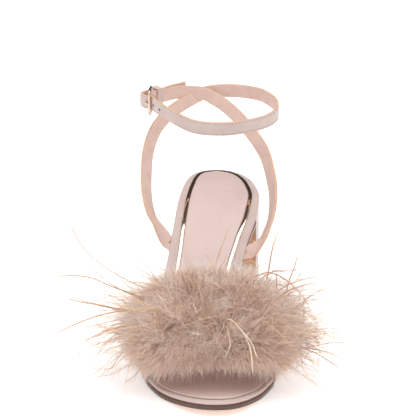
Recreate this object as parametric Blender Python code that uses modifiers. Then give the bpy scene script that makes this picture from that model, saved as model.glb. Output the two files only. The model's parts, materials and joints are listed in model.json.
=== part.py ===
# Ankle strap sandal, right shoe, on a block heel, with a feather trim over the vamp strap.
# Metres, +Z up, toe towards -Y, medial side towards +X. The origin lies on the floor,
# in the middle of the flat tread under the ball of the foot.
import math
import random

import bmesh
import bpy
from mathutils import Matrix, Vector

# Last and sole
SOLE_LENGTH = 0.2145        # heel back to toe tip, measured along the floor
BALL_WIDTH = 0.088          # sole width at the ball
HEEL_HEIGHT = 0.084         # floor to the underside of the sole at the heel back
FLAT_STATION = 0.81         # share of the length where the flat tread has its middle
OUTSOLE = 0.003             # leather outsole thickness
INSOLE = 0.0028             # wrapped insole board thickness
EDGE_STEP = 0.0004          # the board stands back from the outsole edge
SOCK = 0.001                # padded sock thickness
TRIM_WIDTH = 0.0025         # polished strip round the sock
TRIM_THICKNESS = 0.0007
TRIM_END = 0.63             # share of the length where the strip ends, under the vamp strap
TOE_MARGIN = 0.0030         # suede left showing round the sock at the toe
GAP = 0.0003                # clearance between neighbouring pieces
SOLE_ROWS = 44

# Heel
BREAST_STATION = 0.27       # share of the length where the heel breast meets the sole
BREAST_SET_BACK = 0.004     # the foot of the breast lies this much further back
BACK_SET_IN = 0.005         # the foot of the heel back lies this much further forward
HEEL_FLARE = 0.02           # growth in width from seat to tip
HEEL_INSET = 0.0006
HEEL_TIP = 0.0055           # thickness of the heel's top piece
BREAST_BEND = 0.003         # radius where the outsole turns down over the breast
HEEL_LEVELS = 6

# Vamp strap
VAMP_BACK = 0.63            # shares of the length
VAMP_FRONT = 0.80
VAMP_WALL = 0.0018
VAMP_HEIGHT_BACK = 0.041    # insole board to the inside of the strap
VAMP_HEIGHT_FRONT = 0.035
VAMP_SKEW = 0.004           # the crown leans to the medial side
VAMP_LEAN = 0.5             # 0 stands square to the sole, 1 stands upright
VAMP_ROUNDNESS = 0.84
VAMP_ROWS = 24
VAMP_COLUMNS = 12
SKIVED = 0.001              # thickness of an upper's edge under the insole board
TUCK = 0.008                # length of an upper's edge under the insole board

# Ankle and heel straps
STRAP_WIDTH = 0.0093
STRAP_THICKNESS = 0.002
STRAP_STATIONS = (0.360, 0.388)  # lateral and medial: where the heel straps leave the sole
LOOP_WIDTH = 0.095          # ankle loop, centre to centre of the strap
LOOP_DEPTH = 0.074
LOOP_SET_IN = 0.006         # back of the loop in front of the heel back
LOOP_RISE = 0.060           # heel seat to the middle of the loop's strap
LOOP_LAYER = 0.0009         # half the step between the straps where they are joined
STRAP_STEP = 0.005          # spacing of the straps' sections
STRAP_LEDGE = 0.0008        # a strap runs on level this far past the sole edge
STRAP_LOOKS = (0.17, 0.45)  # lateral and medial: where the inner faces look, front to back
CROSSING_ROWS = (12, 14)    # point of each path where the straps cross
POCKET_ROWS = 8
CROSSING_BLEND = (0.05, 0.02)    # length before and after the crossing over which they turn
ROOT_TURN = 0.022           # length over which a strap turns from the sole to its own way
SKIVE_RUN = 0.006           # length over which it reaches its full thickness

# Buckle
BUCKLE_HEIGHT = 0.0165      # centre to centre of the wire
BUCKLE_LENGTH = 0.013
BUCKLE_WIRE = 0.0021
BUCKLE_CORNER = 0.0025
BUCKLE_TURN = math.radians(5)    # the frame turns in towards the back of the ankle
PRONG_WIRE = 0.0016
FOLD_WALL = 0.001           # leather round the hinge bar
FOLD_LENGTH = 0.008
KEEPER_WIDTH = 0.0045
KEEPER_WALL = 0.001
KEEPER_TURN = math.radians(-54)
KEEPER_ROOM = 0.0006        # play of the straps in the keeper
PRONG_ROOM = 0.0004         # play of the prong in the leather
RING_SIDES = 12

# Feather trim
TRIM_STAND_TOP = 0.015      # depth of the feather body over the crown of the vamp strap
TRIM_STAND_SIDE = 0.027     # and over its sides
TRIM_BACK = 0.575           # shares of the length
TRIM_FRONT = 0.875
TRIM_DROP = 0.027           # how far the front of the body hangs over the toes
TRIM_START = 0.06           # share of the arch left free above the sole edge
TRIM_FULLNESS = 0.4         # how soon the body is full at its ends, less is sooner
TRIM_SEAT = 0.0006          # clearance between the feather body and the vamp strap
SEAT_BEYOND = 0.012         # the cut runs on past the strap's edges, share of the length
LOCK_LENGTH = 0.0125
LOCK_LENGTHS = (0.55, 1.4)  # shortest and longest lock, as shares of that
LOCK_LEAN = 0.25            # loose lean of a lock
LOCK_REACH = 1.6           # extra length of the locks at the sides, as a share
LOCK_STEPS = ((0.5, 0.62), (0.5, 0.25))    # share of the length, share of the width
LOCKED_SHARE = 0.66         # share of the body's section that carries locks
LOCK_RINGS = 22
LOCK_SIDES = 16
LOCK_CLEARANCE = 0.006      # the locks' tips stay this far above the sock
SEED = 7

# Underside of the sole: share of the length from the heel back, share of the heel height
TREAD = (
    (0.00, 1.000),
    (0.10, 0.983),
    (0.20, 0.932),
    (0.30, 0.818),
    (0.40, 0.640),
    (0.50, 0.415),
    (0.60, 0.200),
    (0.68, 0.065),
    (0.76, 0.000),
    (0.86, 0.000),
    (1.00, 0.055),
)

# Sole outline: share of the length, lateral edge and medial edge as shares of the ball width
PLAN = (
    (0.00, 0.065, 0.065),
    (0.02, -0.097, 0.216),
    (0.06, -0.165, 0.307),
    (0.12, -0.209, 0.375),
    (0.19, -0.244, 0.409),
    (0.28, -0.277, 0.373),
    (0.38, -0.315, 0.290),
    (0.47, -0.367, 0.236),
    (0.56, -0.434, 0.284),
    (0.64, -0.484, 0.395),
    (0.71, -0.506, 0.483),
    (0.78, -0.476, 0.490),
    (0.85, -0.400, 0.428),
    (0.91, -0.303, 0.350),
    (0.96, -0.190, 0.262),
    (0.99, -0.075, 0.172),
    (1.00, 0.049, 0.049),
)

# Suede border outside the polished strip: share of the length, share of the ball width
BORDER = (
    (0.00, 0.045),
    (0.12, 0.062),
    (0.30, 0.068),
    (0.50, 0.085),
    (0.65, 0.090),
    (1.00, 0.090),
)

# Straps: across as a share of half the loop width, back from the loop's front to its back,
# up from the sole edge to the loop, and layer, which is how many steps it lies outside
OUTER_ROUTE = (
    (-0.740, 0.085, 0.170, 0),
    (-0.848, 0.145, 0.255, 0),
    (-0.912, 0.243, 0.375, 0),
    (-0.925, 0.373, 0.500, 0),
    (-0.902, 0.535, 0.643, 0),
    (-0.804, 0.684, 0.768, 0),
    (-0.653, 0.790, 0.850, 0),
    (-0.436, 0.885, 0.915, 1),
    (-0.210, 0.960, 0.966, 1),
    (-0.063, 0.993, 0.995, 1),
    (0.168, 1.015, 1.006, 1),
    (0.463, 1.000, 1.010, 0),
    (0.758, 0.900, 1.006, 0),
    (0.935, 0.703, 1.000, 0),
    (0.992, 0.527, 0.989, 0),
    (0.950, 0.331, 0.983, 0),
    (0.790, 0.176, 0.977, 0),
    (0.522, 0.061, 0.972, 0),
    (0.179, 0.007, 0.966, 0),
    (-0.221, 0.047, 0.975, 0),
    (-0.579, 0.264, 1.011, 0),
    (-0.770, 0.440, 1.030, 0),
    (-0.822, 0.525, 1.034, 0),
    (-0.925, 0.565, 1.034, 0),
    (-0.985, 0.625, 1.034, 0),
    (-0.982, 0.674, 1.032, 0),
    (-0.935, 0.734, 1.030, 0),
    (-0.846, 0.772, 1.028, 0),
    (-0.724, 0.816, 1.026, 0),
    (-0.575, 0.923, 1.026, 0),
    (-0.365, 1.031, 1.030, 0),
)
INNER_ROUTE = (
    (0.756, -0.011, 0.085, 0),
    (0.845, 0.062, 0.158, 0),
    (0.906, 0.131, 0.236, 0),
    (0.937, 0.224, 0.342, 0),
    (0.920, 0.330, 0.455, 0),
    (0.832, 0.500, 0.611, 0),
    (0.690, 0.624, 0.718, 0),
    (0.457, 0.778, 0.843, -1),
    (0.236, 0.888, 0.924, -1),
    (0.080, 0.950, 0.963, -1),
    (-0.063, 0.985, 0.993, -1),
    (-0.288, 0.975, 1.010, -1),
    (-0.500, 0.905, 1.022, 0),
    (-0.690, 0.790, 1.026, 0),
    (-0.790, 0.735, 1.030, 0),
    (-0.848, 0.679, 1.037, 0),
    (-0.864, 0.648, 1.038, 0),
)
# Front bar of the buckle and middle of the keeper in the same shares: across, back, up
FRONT_BAR = (-0.872, 0.505, 1.036)
KEEPER_PLACE = (-0.770, 0.780, 1.028)

# Feather body, a section across the vamp strap: share from its back edge to its front edge,
# stand as a share of the body's depth, below 0 where the strap cuts its seat, and drop as a
# share of the front drop
BODY_SECTION = (
    (0.00, 0.10, 0.0),
    (0.02, 0.50, 0.0),
    (0.12, 0.85, 0.0),
    (0.30, 1.00, 0.0),
    (0.50, 1.04, 0.0),
    (0.70, 1.00, 0.0),
    (0.87, 0.90, 0.1),
    (0.98, 0.80, 0.4),
    (1.02, 0.55, 0.8),
    (0.98, 0.30, 1.0),
    (0.90, 0.15, 0.8),
    (0.78, -0.12, 0.0),
    (0.50, -0.15, 0.0),
    (0.22, -0.15, 0.0),
)


def smooth(rows, x, column=1):
    """Monotone cubic curve through a column of a table, level beyond its ends."""
    xs = [row[0] for row in rows]
    ys = [row[column] for row in rows]
    if x <= xs[0]:
        return ys[0]
    if x >= xs[-1]:
        return ys[-1]
    steps = [b - a for a, b in zip(xs, xs[1:])]
    slopes = [(b - a) / h for a, b, h in zip(ys, ys[1:], steps)]
    bends = [slopes[0]]
    for i in range(1, len(slopes)):
        before, after = slopes[i - 1], slopes[i]
        if before * after <= 0:
            bends.append(0.0)
        else:
            w1 = 2 * steps[i] + steps[i - 1]
            w2 = steps[i] + 2 * steps[i - 1]
            bends.append((w1 + w2) / (w1 / before + w2 / after))
    bends.append(slopes[-1])
    k = max(i for i in range(len(steps)) if xs[i] <= x)
    s = (x - xs[k]) / steps[k]
    return ((1 + 2 * s) * (1 - s) ** 2 * ys[k] + s * (1 - s) ** 2 * steps[k] * bends[k]
            + s * s * (3 - 2 * s) * ys[k + 1] + s * s * (s - 1) * steps[k] * bends[k + 1])


def ease(x, low, high):
    """0 below low, 1 above high, smooth between them."""
    s = min(max((x - low) / (high - low), 0.0), 1.0)
    return s * s * (3 - 2 * s)


def through(points, step):
    """Points of a smooth curve through the given ones, about a step apart."""
    ends = [2 * points[0] - points[1], *points, 2 * points[-1] - points[-2]]
    curve = []
    for before, start, end, after in zip(ends, ends[1:], ends[2:], ends[3:]):
        count = max(1, round((end - start).length / step))
        for i in range(count):
            s = i / count
            curve.append(0.5 * (2 * start + (end - before) * s
                                + (2 * before - 5 * start + 4 * end - after) * s * s
                                + (3 * start - before - 3 * end + after) * s ** 3))
    return curve + [points[-1]]


# Last and sole

def stationY(t):
    return SOLE_LENGTH * (FLAT_STATION - t)


def yStation(y):
    return FLAT_STATION - y / SOLE_LENGTH


def treadZ(t):
    return HEEL_HEIGHT * smooth(TREAD, t)


def soleNormal(t):
    """Direction square to the sole, in the side view."""
    step = 0.004
    rise = treadZ(t - step) - treadZ(t + step)
    return Vector((0, -rise, 2 * step * SOLE_LENGTH)).normalized()


def footbed(t, x, lift):
    """Point a given height above the underside of the sole."""
    return Vector((x, stationY(t), treadZ(t))) + lift * soleNormal(t)


def turn(t):
    """Station to the parameter in which the round ends of the outline are even."""
    return math.acos(1 - 2 * min(max(t, 0.0), 1.0)) / math.pi


PLAN_TURNS = tuple((turn(row[0]), row[1] * BALL_WIDTH, row[2] * BALL_WIDTH) for row in PLAN)


def edgeX(t, side):
    """Edge of the sole: side 1 is lateral, side 2 is medial."""
    return smooth(PLAN_TURNS, turn(t), side)


def rim(s):
    """Point of the outline in plan: 0 heel back, up to 1 lateral to the toe, back by 2."""
    s = s % 2
    u, side = (s, 1) if s <= 1 else (2 - s, 2)
    t = (1 - math.cos(math.pi * u)) / 2
    return Vector((edgeX(t, side), stationY(t)))


def rimInside(s, inset):
    """Point a given distance inside the outline."""
    step = 0.004
    along = rim(s + step) - rim(s - step)
    inward = Vector((-along.y, along.x)).normalized()
    return rim(s) + inset * inward


def onSole(flat, lift):
    return footbed(yStation(flat.y), flat.x, lift)


def borderAt(t):
    return BALL_WIDTH * smooth(BORDER, t)


def sockInset(t):
    held = 1 - ease(t, TRIM_END, TRIM_END + 0.12)
    full = borderAt(t) + TRIM_WIDTH + GAP
    return full * held + TOE_MARGIN * (1 - held)


BOARD_LIFT = OUTSOLE + GAP
BOARD_TOP = BOARD_LIFT + INSOLE
SEAT_Z = HEEL_HEIGHT + BOARD_TOP


# Vamp strap

def vampHeight(t):
    share = (t - VAMP_BACK) / (VAMP_FRONT - VAMP_BACK)
    return VAMP_HEIGHT_BACK + share * (VAMP_HEIGHT_FRONT - VAMP_HEIGHT_BACK)


def archPoint(t, angle):
    """Inside of the vamp strap: angle 0 at the lateral sole edge, pi at the medial one."""
    lateral, medial = edgeX(t, 1) - GAP, edgeX(t, 2) + GAP
    half = (medial - lateral) / 2
    cosine = math.copysign(abs(math.cos(angle)) ** VAMP_ROUNDNESS, math.cos(angle))
    rise = max(math.sin(angle), 0.0) ** VAMP_ROUNDNESS
    x = (lateral + medial) / 2 - half * cosine + VAMP_SKEW * rise
    upright = soleNormal((VAMP_BACK + VAMP_FRONT) / 2).lerp(Vector((0, 0, 1)), VAMP_LEAN).normalized()
    return footbed(t, x, BOARD_LIFT + SKIVED) + (vampHeight(t) + INSOLE) * rise * upright


def archNormal(t, angle):
    step = 0.02
    around = archPoint(t, angle + step) - archPoint(t, angle - step)
    along = archPoint(t - step, angle) - archPoint(t + step, angle)
    return around.cross(along).normalized()


def overVamp(t, angle, stand):
    """Point a given height above the outside of the vamp strap."""
    return archPoint(t, angle) + (VAMP_WALL + stand) * archNormal(t, angle)


# Scene and finishes

def clearScene():
    for item in list(bpy.data.objects):
        bpy.data.objects.remove(item, do_unlink=True)


def collection(name):
    group = bpy.data.collections.new(name)
    bpy.context.scene.collection.children.link(group)
    return group


def finish(name, colour, roughness, metallic=0.0):
    material = bpy.data.materials.new(name)
    material.use_nodes = True
    shader = material.node_tree.nodes["Principled BSDF"]
    shader.inputs["Base Color"].default_value = (*colour, 1)
    shader.inputs["Roughness"].default_value = roughness
    shader.inputs["Metallic"].default_value = metallic
    return material


clearScene()
SANDAL = collection("ankle_strap_sandal")
CUTTERS = collection("cutters")

OUTSOLE_LEATHER = finish("outsole_leather", (0.58, 0.33, 0.15), 0.45)
SUEDE = finish("blush_suede", (0.70, 0.57, 0.53), 0.9)
SOCK_LEATHER = finish("sock_leather", (0.80, 0.64, 0.59), 0.5)
MIRROR_TRIM = finish("polished_strip", (0.75, 0.62, 0.52), 0.12, 1.0)
RUBBER = finish("heel_tip_rubber", (0.25, 0.16, 0.12), 0.7)
PALE_GOLD = finish("pale_gold", (0.82, 0.68, 0.55), 0.25, 1.0)
FEATHER = finish("marabou_feather", (0.58, 0.42, 0.33), 0.95)


def addObject(name, shape, material, group=None):
    """Object from a bmesh. A cutter has no material."""
    mesh = bpy.data.meshes.new(name)
    shape.to_mesh(mesh)
    shape.free()
    thing = bpy.data.objects.new(name, mesh)
    (group or SANDAL).objects.link(thing)
    if material:
        mesh.materials.append(material)
    else:
        thing.hide_render = True
        thing.display_type = "WIRE"
    return thing


def loft(name, rings, material, group=None):
    """Closed body through rings of the same number of points."""
    shape = bmesh.new()
    loops = [[shape.verts.new(point) for point in ring] for ring in rings]
    for a, b in zip(loops, loops[1:]):
        for i in range(len(a)):
            shape.faces.new((a[i - 1], a[i], b[i], b[i - 1]))
    shape.faces.new(loops[0])
    shape.faces.new(loops[-1])
    bmesh.ops.recalc_face_normals(shape, faces=shape.faces)
    return addObject(name, shape, material, group)


def sheet(name, rows, columns, place, material, thickness, group=None):
    """Open surface from a grid moved by place(row share, column share), with a wall."""
    shape = bmesh.new()
    bmesh.ops.create_grid(shape, x_segments=rows, y_segments=columns, size=0.5)
    for vertex in shape.verts:
        vertex.co = place(vertex.co.x + 0.5, vertex.co.y + 0.5)
    bmesh.ops.remove_doubles(shape, verts=shape.verts, dist=1e-6)
    bmesh.ops.dissolve_degenerate(shape, edges=shape.edges, dist=1e-6)
    thing = addObject(name, shape, material, group)
    wall = thing.modifiers.new("wall", "SOLIDIFY")
    wall.thickness = thickness
    wall.offset = 1
    wall.use_even_offset = True
    return thing


def cut(thing, cutter, operation="DIFFERENCE"):
    change = thing.modifiers.new(cutter.name, "BOOLEAN")
    change.operation = operation
    change.object = cutter


# Sole

def layer(name, material, lift, thickness, inset):
    """Sheet over the whole sole, inset(t) inside its outline."""
    def place(u, across):
        t = (1 - math.cos(math.pi * u)) / 2
        depth = inset(t)
        lateral, medial = rimInside(u, depth), rimInside(2 - u, depth)
        return onSole(lateral.lerp(medial, across), lift)
    return sheet(name, SOLE_ROWS, 1, place, material, thickness)


def breastY(z):
    """Visible face of the breast, under the point where the sole turns down."""
    drop = 1 - z / treadZ(BREAST_STATION)
    return stationY(BREAST_STATION) + BREAST_SET_BACK * drop


def outsole():
    """Outsole from the toe up the waist, turned down over the breast of the heel."""
    turnRows = 6
    downRows = 6
    soleStations = [1 - (1 - math.cos(math.pi * i / SOLE_ROWS)) / 2 for i in range(SOLE_ROWS + 1)]
    bendStation = BREAST_STATION + 1.6 * BREAST_BEND / SOLE_LENGTH
    path = [(t, footbed(t, 0, 0)) for t in soleStations if t > bendStation + 0.01]
    start = footbed(bendStation, 0, 0)
    foot = HEEL_TIP + GAP
    top = start.z - 1.6 * BREAST_BEND
    corner = Vector((0, breastY(start.z), start.z + 0.6 * BREAST_BEND))
    for i in range(turnRows + 1):
        s = i / turnRows
        low = Vector((0, breastY(top), top))
        point = (1 - s) ** 2 * start + 2 * s * (1 - s) * corner + s * s * low
        path.append((BREAST_STATION, point))
    for i in range(1, downRows + 1):
        z = top + (foot - top) * i / downRows
        path.append((BREAST_STATION, Vector((0, breastY(z), z))))

    def place(row, across):
        t, point = path[round(row * (len(path) - 1))]
        side = heelEdge(t, point.z) if t == BREAST_STATION else (edgeX(t, 1), edgeX(t, 2))
        return Vector((side[1] + across * (side[0] - side[1]), point.y, point.z))
    return sheet("outsole", len(path) - 1, 1, place, OUTSOLE_LEATHER, OUTSOLE)


def heelGrowth(z):
    return 1 + HEEL_FLARE * (1 - z / HEEL_HEIGHT)


def heelEdge(t, z):
    """Lateral and medial side of the heel at a height."""
    lateral, medial = edgeX(t, 1) + HEEL_INSET, edgeX(t, 2) - HEEL_INSET
    middle, half = (lateral + medial) / 2, (medial - lateral) / 2 * heelGrowth(z)
    return middle - half, middle + half


def heelRing(z, breast):
    """Outline of the heel at a height, with its breast at a given y."""
    count = 9
    sides = []
    for side in (0, 1):
        for i in range(count):
            u = turn(BREAST_STATION) * (1 - i / (count - 1) if side == 0 else i / (count - 1))
            t = (1 - math.cos(math.pi * u)) / 2
            if side == 1 and i == 0:
                continue
            share = 1 - t / BREAST_STATION
            front = breast
            back = stationY(0) - HEEL_INSET - BACK_SET_IN * (1 - z / HEEL_HEIGHT)
            x = heelEdge(t, z)[side]
            sides.append(Vector((x, front + share * (back - front), z)))
    return sides


def heel():
    """Covered heel block, trimmed under the seat, and its tip."""
    behind = OUTSOLE + GAP
    low, high = HEEL_TIP + GAP, HEEL_HEIGHT + 2 * OUTSOLE
    levels = [low + (high - low) * i / HEEL_LEVELS for i in range(HEEL_LEVELS + 1)]
    block = loft("heel_block", [heelRing(z, breastY(z) + behind) for z in levels], SUEDE)

    def above(row, across):
        t = -0.1 + row * (BREAST_STATION + 0.2)
        return footbed(t, (across - 0.5) * 2 * BALL_WIDTH, OUTSOLE)
    room = sheet("seat_cutter", 26, 1, above, None, HEEL_HEIGHT / 2, CUTTERS)
    cut(block, room)
    tip = loft("heel_tip", [heelRing(z, breastY(z)) for z in (0, HEEL_TIP)], RUBBER)
    return block, tip


def trimStrip():
    reach = turn(TRIM_END)

    def place(row, across):
        s = reach * (2 * row - 1)
        t = (1 - math.cos(math.pi * abs(s))) / 2
        return onSole(rimInside(s, borderAt(t) + across * TRIM_WIDTH), BOARD_TOP + GAP)
    return sheet("trim_strip", 2 * SOLE_ROWS - 20, 1, place, MIRROR_TRIM, TRIM_THICKNESS)


# Straps

def loopZ():
    return SEAT_Z + LOOP_RISE


def strapPlace(across, back, up):
    root = footbed(STRAP_STATIONS[1], 0, BOARD_LIFT)
    y = stationY(0) - LOOP_SET_IN - LOOP_DEPTH * (1 - back)
    return Vector((across * LOOP_WIDTH / 2, y, root.z + up * (loopZ() - root.z)))


def strapPath(route, side):
    """A strap from its tuck under the board: side of the sole, points and layers."""
    s = turn(STRAP_STATIONS[side - 1])
    s = s if side == 1 else 2 - s
    under = BOARD_LIFT + SKIVED / 2
    tuck = [onSole(rimInside(s, inset), under) for inset in (TUCK, TUCK / 2, -STRAP_LEDGE)]
    points = tuck + [strapPlace(*row[:3]) for row in route]
    layers = [0] * len(tuck) + [row[3] for row in route]
    return side, points, layers


def ribbon(name, path, thicknessAt, material, group=None):
    """Flat strap along a path, turned to the side that its inner face looks to."""
    side, points, layers = path
    centres = through(points, STRAP_STEP)
    lengths = [0.0]
    for a, b in zip(centres, centres[1:]):
        lengths.append(lengths[-1] + (b - a).length)
    marks = [lengths[min(range(len(centres)), key=lambda i: (centres[i] - p).length)] for p in points]
    steps = list(zip(marks, layers))
    crossing = marks[CROSSING_ROWS[side - 1]]
    watched = strapPlace(0, STRAP_LOOKS[side - 1], 1)
    rings = []
    for i, centre in enumerate(centres):
        tangent = (centres[min(i + 1, len(centres) - 1)] - centres[max(i - 1, 0)]).normalized()
        if lengths[i] < TUCK + 2 * STRAP_LEDGE:
            tangent = (points[1] - points[0]).normalized()
        level = tangent.cross(Vector((0, 0, 1))) * (1 if side == 1 else -1)
        inward = (watched - centre).normalized()
        inward = inward.lerp(level.normalized(),
                             ease(lengths[i], crossing - CROSSING_BLEND[0], crossing + CROSSING_BLEND[1]))
        inward = soleNormal(STRAP_STATIONS[side - 1]).lerp(inward, ease(lengths[i], TUCK, TUCK + ROOT_TURN))
        inward = (inward - inward.dot(tangent) * tangent).normalized()
        across = tangent.cross(inward)
        middle = centre - inward * smooth(steps, lengths[i]) * LOOP_LAYER
        wide = STRAP_WIDTH / 2 * across
        deep = thicknessAt(lengths[i], lengths[-1]) / 2 * inward
        rings.append([middle - wide - deep, middle + wide - deep,
                      middle + wide + deep, middle - wide + deep])
    return loft(name, rings, material, group)


def skivedStart(length, whole):
    """Thin under the board, full where the strap shows."""
    return SKIVED + (STRAP_THICKNESS - SKIVED) * ease(length, TUCK, TUCK + SKIVE_RUN)


def foldedEnd(length, whole):
    """As above, and thick at the far end, where the strap folds round the hinge bar."""
    fold = BUCKLE_WIRE + 2 * (GAP + FOLD_WALL)
    return skivedStart(length, whole) + (fold - STRAP_THICKNESS) * ease(length, whole - FOLD_LENGTH, whole)


# Buckle and keeper

def cylinder(name, radius, height, matrix, group):
    shape = bmesh.new()
    bmesh.ops.create_cone(shape, cap_ends=True, segments=RING_SIDES, radius1=radius,
                          radius2=radius, depth=height, matrix=matrix)
    return addObject(name, shape, None, group)


def block(name, size, matrix, material, group=None):
    shape = bmesh.new()
    bmesh.ops.create_cube(shape, size=1, matrix=matrix @ Matrix.Diagonal((*size, 1)))
    return addObject(name, shape, material, group)


def wire(name, points, thickness, cyclic, matrix):
    curve = bpy.data.curves.new(name, "CURVE")
    curve.dimensions = "3D"
    curve.bevel_depth = thickness / 2
    curve.bevel_resolution = 2
    curve.use_fill_caps = True
    spline = curve.splines.new("POLY")
    spline.points.add(len(points) - 1)
    for target, point in zip(spline.points, points):
        target.co = (*point, 1)
    spline.use_cyclic_u = cyclic
    curve.materials.append(PALE_GOLD)
    thing = bpy.data.objects.new(name, curve)
    thing.matrix_world = matrix
    SANDAL.objects.link(thing)
    return thing


def arc(middle, radius, start, end, count):
    angles = [start + (end - start) * i / count for i in range(count + 1)]
    return [Vector((middle[0] + radius * math.cos(a), middle[1] + radius * math.sin(a), 0))
            for a in angles]


def buckle(strap, inner):
    """Frame, and prong round its hinge bar. X runs from the front bar back, Y runs up."""
    front = strapPlace(*FRONT_BAR)
    back = Vector((math.sin(BUCKLE_TURN), math.cos(BUCKLE_TURN), 0))
    up = Vector((0, 0, 1))
    place = Matrix((back, up, back.cross(up))).transposed().to_4x4()
    place.translation = front
    half = BUCKLE_HEIGHT / 2
    low, high = BUCKLE_CORNER, BUCKLE_LENGTH - BUCKLE_CORNER
    tall = half - BUCKLE_CORNER
    quarter = math.pi / 2
    corners = ((high, tall, 0), (low, tall, 1), (low, -tall, 2), (high, -tall, 3))
    outline = [point for x, y, k in corners
               for point in arc((x, y), BUCKLE_CORNER, k * quarter, (k + 1) * quarter, 4)]
    wire("buckle_frame", outline, BUCKLE_WIRE, True, place)
    hinge = Matrix.Translation(front + BUCKLE_LENGTH * back)
    bore = cylinder("hinge_bore", BUCKLE_WIRE / 2 + GAP, 2 * STRAP_WIDTH, hinge, CUTTERS)
    cut(inner, bore)
    around = (BUCKLE_WIRE + PRONG_WIRE) / 2 + GAP
    flat = Matrix((back, up.cross(back), up)).transposed().to_4x4()
    flat.translation = front
    ring = arc((BUCKLE_LENGTH, 0), around, -quarter * 2.4, quarter, 10)
    wire("buckle_prong", [*ring, Vector((-PRONG_WIRE, around, 0))], PRONG_WIRE, False, flat)
    room = PRONG_WIRE / 2 + PRONG_ROOM
    slot = flat @ Matrix.Translation((BUCKLE_LENGTH, 0, 0))
    reach = 2 * (around + room)
    cut(inner, block("prong_slot", (reach, 2 * reach, 2 * room), slot, None, CUTTERS))
    through = flat @ Matrix.Translation((BUCKLE_LENGTH * 0.35, around, 0))
    through = through @ Matrix.Rotation(quarter, 4, "Y")
    cut(strap, cylinder("prong_hole", room, BUCKLE_LENGTH * 0.7, through, CUTTERS))


def keeper():
    """Loop of leather round both straps, behind the buckle."""
    place = Matrix.Translation(strapPlace(*KEEPER_PLACE)) @ Matrix.Rotation(KEEPER_TURN, 4, "Z")
    deep = 2 * STRAP_THICKNESS + 4 * KEEPER_ROOM
    tall = STRAP_WIDTH + 2 * KEEPER_ROOM
    size = (deep + 2 * KEEPER_WALL, KEEPER_WIDTH, tall + 2 * KEEPER_WALL)
    band = block("strap_keeper", size, place, SUEDE)
    room = block("keeper_room", (deep, 2 * KEEPER_WIDTH, tall), place, None, CUTTERS)
    cut(band, room)


def strapPocket(board, name, path):
    """Room under the board for the tucked end of a strap."""
    side, points, layers = path
    outward = (points[1] - points[0]).normalized()
    across = outward.cross(soleNormal(STRAP_STATIONS[side - 1])).normalized()
    frame = Matrix((across, outward, across.cross(outward))).transposed().to_4x4()
    frame.translation = points[0] + TUCK * outward
    size = (STRAP_WIDTH + 2 * GAP, 2 * TUCK + 2 * GAP, SKIVED + 2 * GAP)
    cut(board, block(name, size, frame, None, CUTTERS))


def straps(board):
    """Two straps crossed and joined behind the ankle, one of them running on as the loop."""
    outer = strapPath(OUTER_ROUTE, 1)
    inner = strapPath(INNER_ROUTE, 2)
    strapPocket(board, "lateral_pocket", outer)
    strapPocket(board, "medial_pocket", inner)
    strap = ribbon("ankle_straps", outer, skivedStart, SUEDE)
    other = ribbon("inner_strap", inner, foldedEnd, None, CUTTERS)
    buckle(strap, other)
    cut(strap, other, "UNION")
    keeper()


# Vamp strap and feather trim

def vampPocket(board, name, side, start, end):
    """Room under the board for a tucked edge of the vamp strap."""
    outward = -1 if side == 1 else 1

    def place(row, across):
        t = start + row * (end - start)
        low, high = sorted((edgeX(t, side) + outward * TUCK, edgeX(t, side) - outward * (TUCK + GAP)))
        return footbed(t, low + across * (high - low), OUTSOLE)
    cut(board, sheet(name, POCKET_ROWS, 1, place, None, SKIVED + 2 * GAP, CUTTERS))


def vampStrap(board):
    """Strap over the ball of the foot, its edges tucked under the board."""
    stops = [("tuck", 1, TUCK), ("tuck", 1, -GAP)]
    stops += [("arch", math.pi * i / VAMP_ROWS, 0) for i in range(1, VAMP_ROWS)]
    stops += [("tuck", 2, -GAP), ("tuck", 2, TUCK)]

    def place(row, column):
        kind, where, inside = stops[round(row * (len(stops) - 1))]
        t = VAMP_FRONT + column * (VAMP_BACK - VAMP_FRONT)
        if kind == "arch":
            return archPoint(t, where)
        inside = inside if where == 1 else -inside
        return footbed(t, edgeX(t, where) + inside, BOARD_LIFT + SKIVED)

    strap = sheet("vamp_strap", len(stops) - 1, VAMP_COLUMNS, place, SUEDE, VAMP_WALL)
    tucked = [place(row / (len(stops) - 1), i / VAMP_COLUMNS) for i in range(VAMP_COLUMNS + 1)
              for row in (0, 1, len(stops) - 2, len(stops) - 1)]
    full = [vertex.index for vertex in strap.data.vertices
            if min((vertex.co - point).length for point in tucked) > GAP / 10]
    strap.vertex_groups.new(name="full").add(full, 1.0, "REPLACE")
    wall = strap.modifiers["wall"]
    wall.vertex_group = "full"
    wall.thickness_vertex_group = SKIVED / VAMP_WALL
    clear = GAP / SOLE_LENGTH
    for side, name in ((1, "vamp_pocket_lateral"), (2, "vamp_pocket_medial")):
        vampPocket(board, name, side, VAMP_BACK - clear, VAMP_FRONT + clear)


def bodyPoint(around, along):
    """Surface of the feather body: around its section, along the vamp strap's arch."""
    share = around * len(BODY_SECTION)
    low = int(share) % len(BODY_SECTION)
    rows = BODY_SECTION[low], BODY_SECTION[(low + 1) % len(BODY_SECTION)]
    station, stand, drop = (a + (b - a) * (share - int(share)) for a, b in zip(*rows))
    angle = math.pi * (TRIM_START + (1 - 2 * TRIM_START) * along)
    full = max(math.sin(math.pi * along), 0.0) ** TRIM_FULLNESS
    depth = TRIM_STAND_TOP + (TRIM_STAND_SIDE - TRIM_STAND_TOP) * abs(math.cos(angle))
    t = (TRIM_BACK + TRIM_FRONT) / 2 + (station - 0.5) * full * (TRIM_FRONT - TRIM_BACK)
    point = overVamp(t, angle, stand * full * depth)
    point.z -= TRIM_DROP * drop * full * math.sin(angle)
    return point


def aroundShare(point):
    return (math.atan2(point.y, point.x) / (2 * math.pi)) % 1


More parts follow.
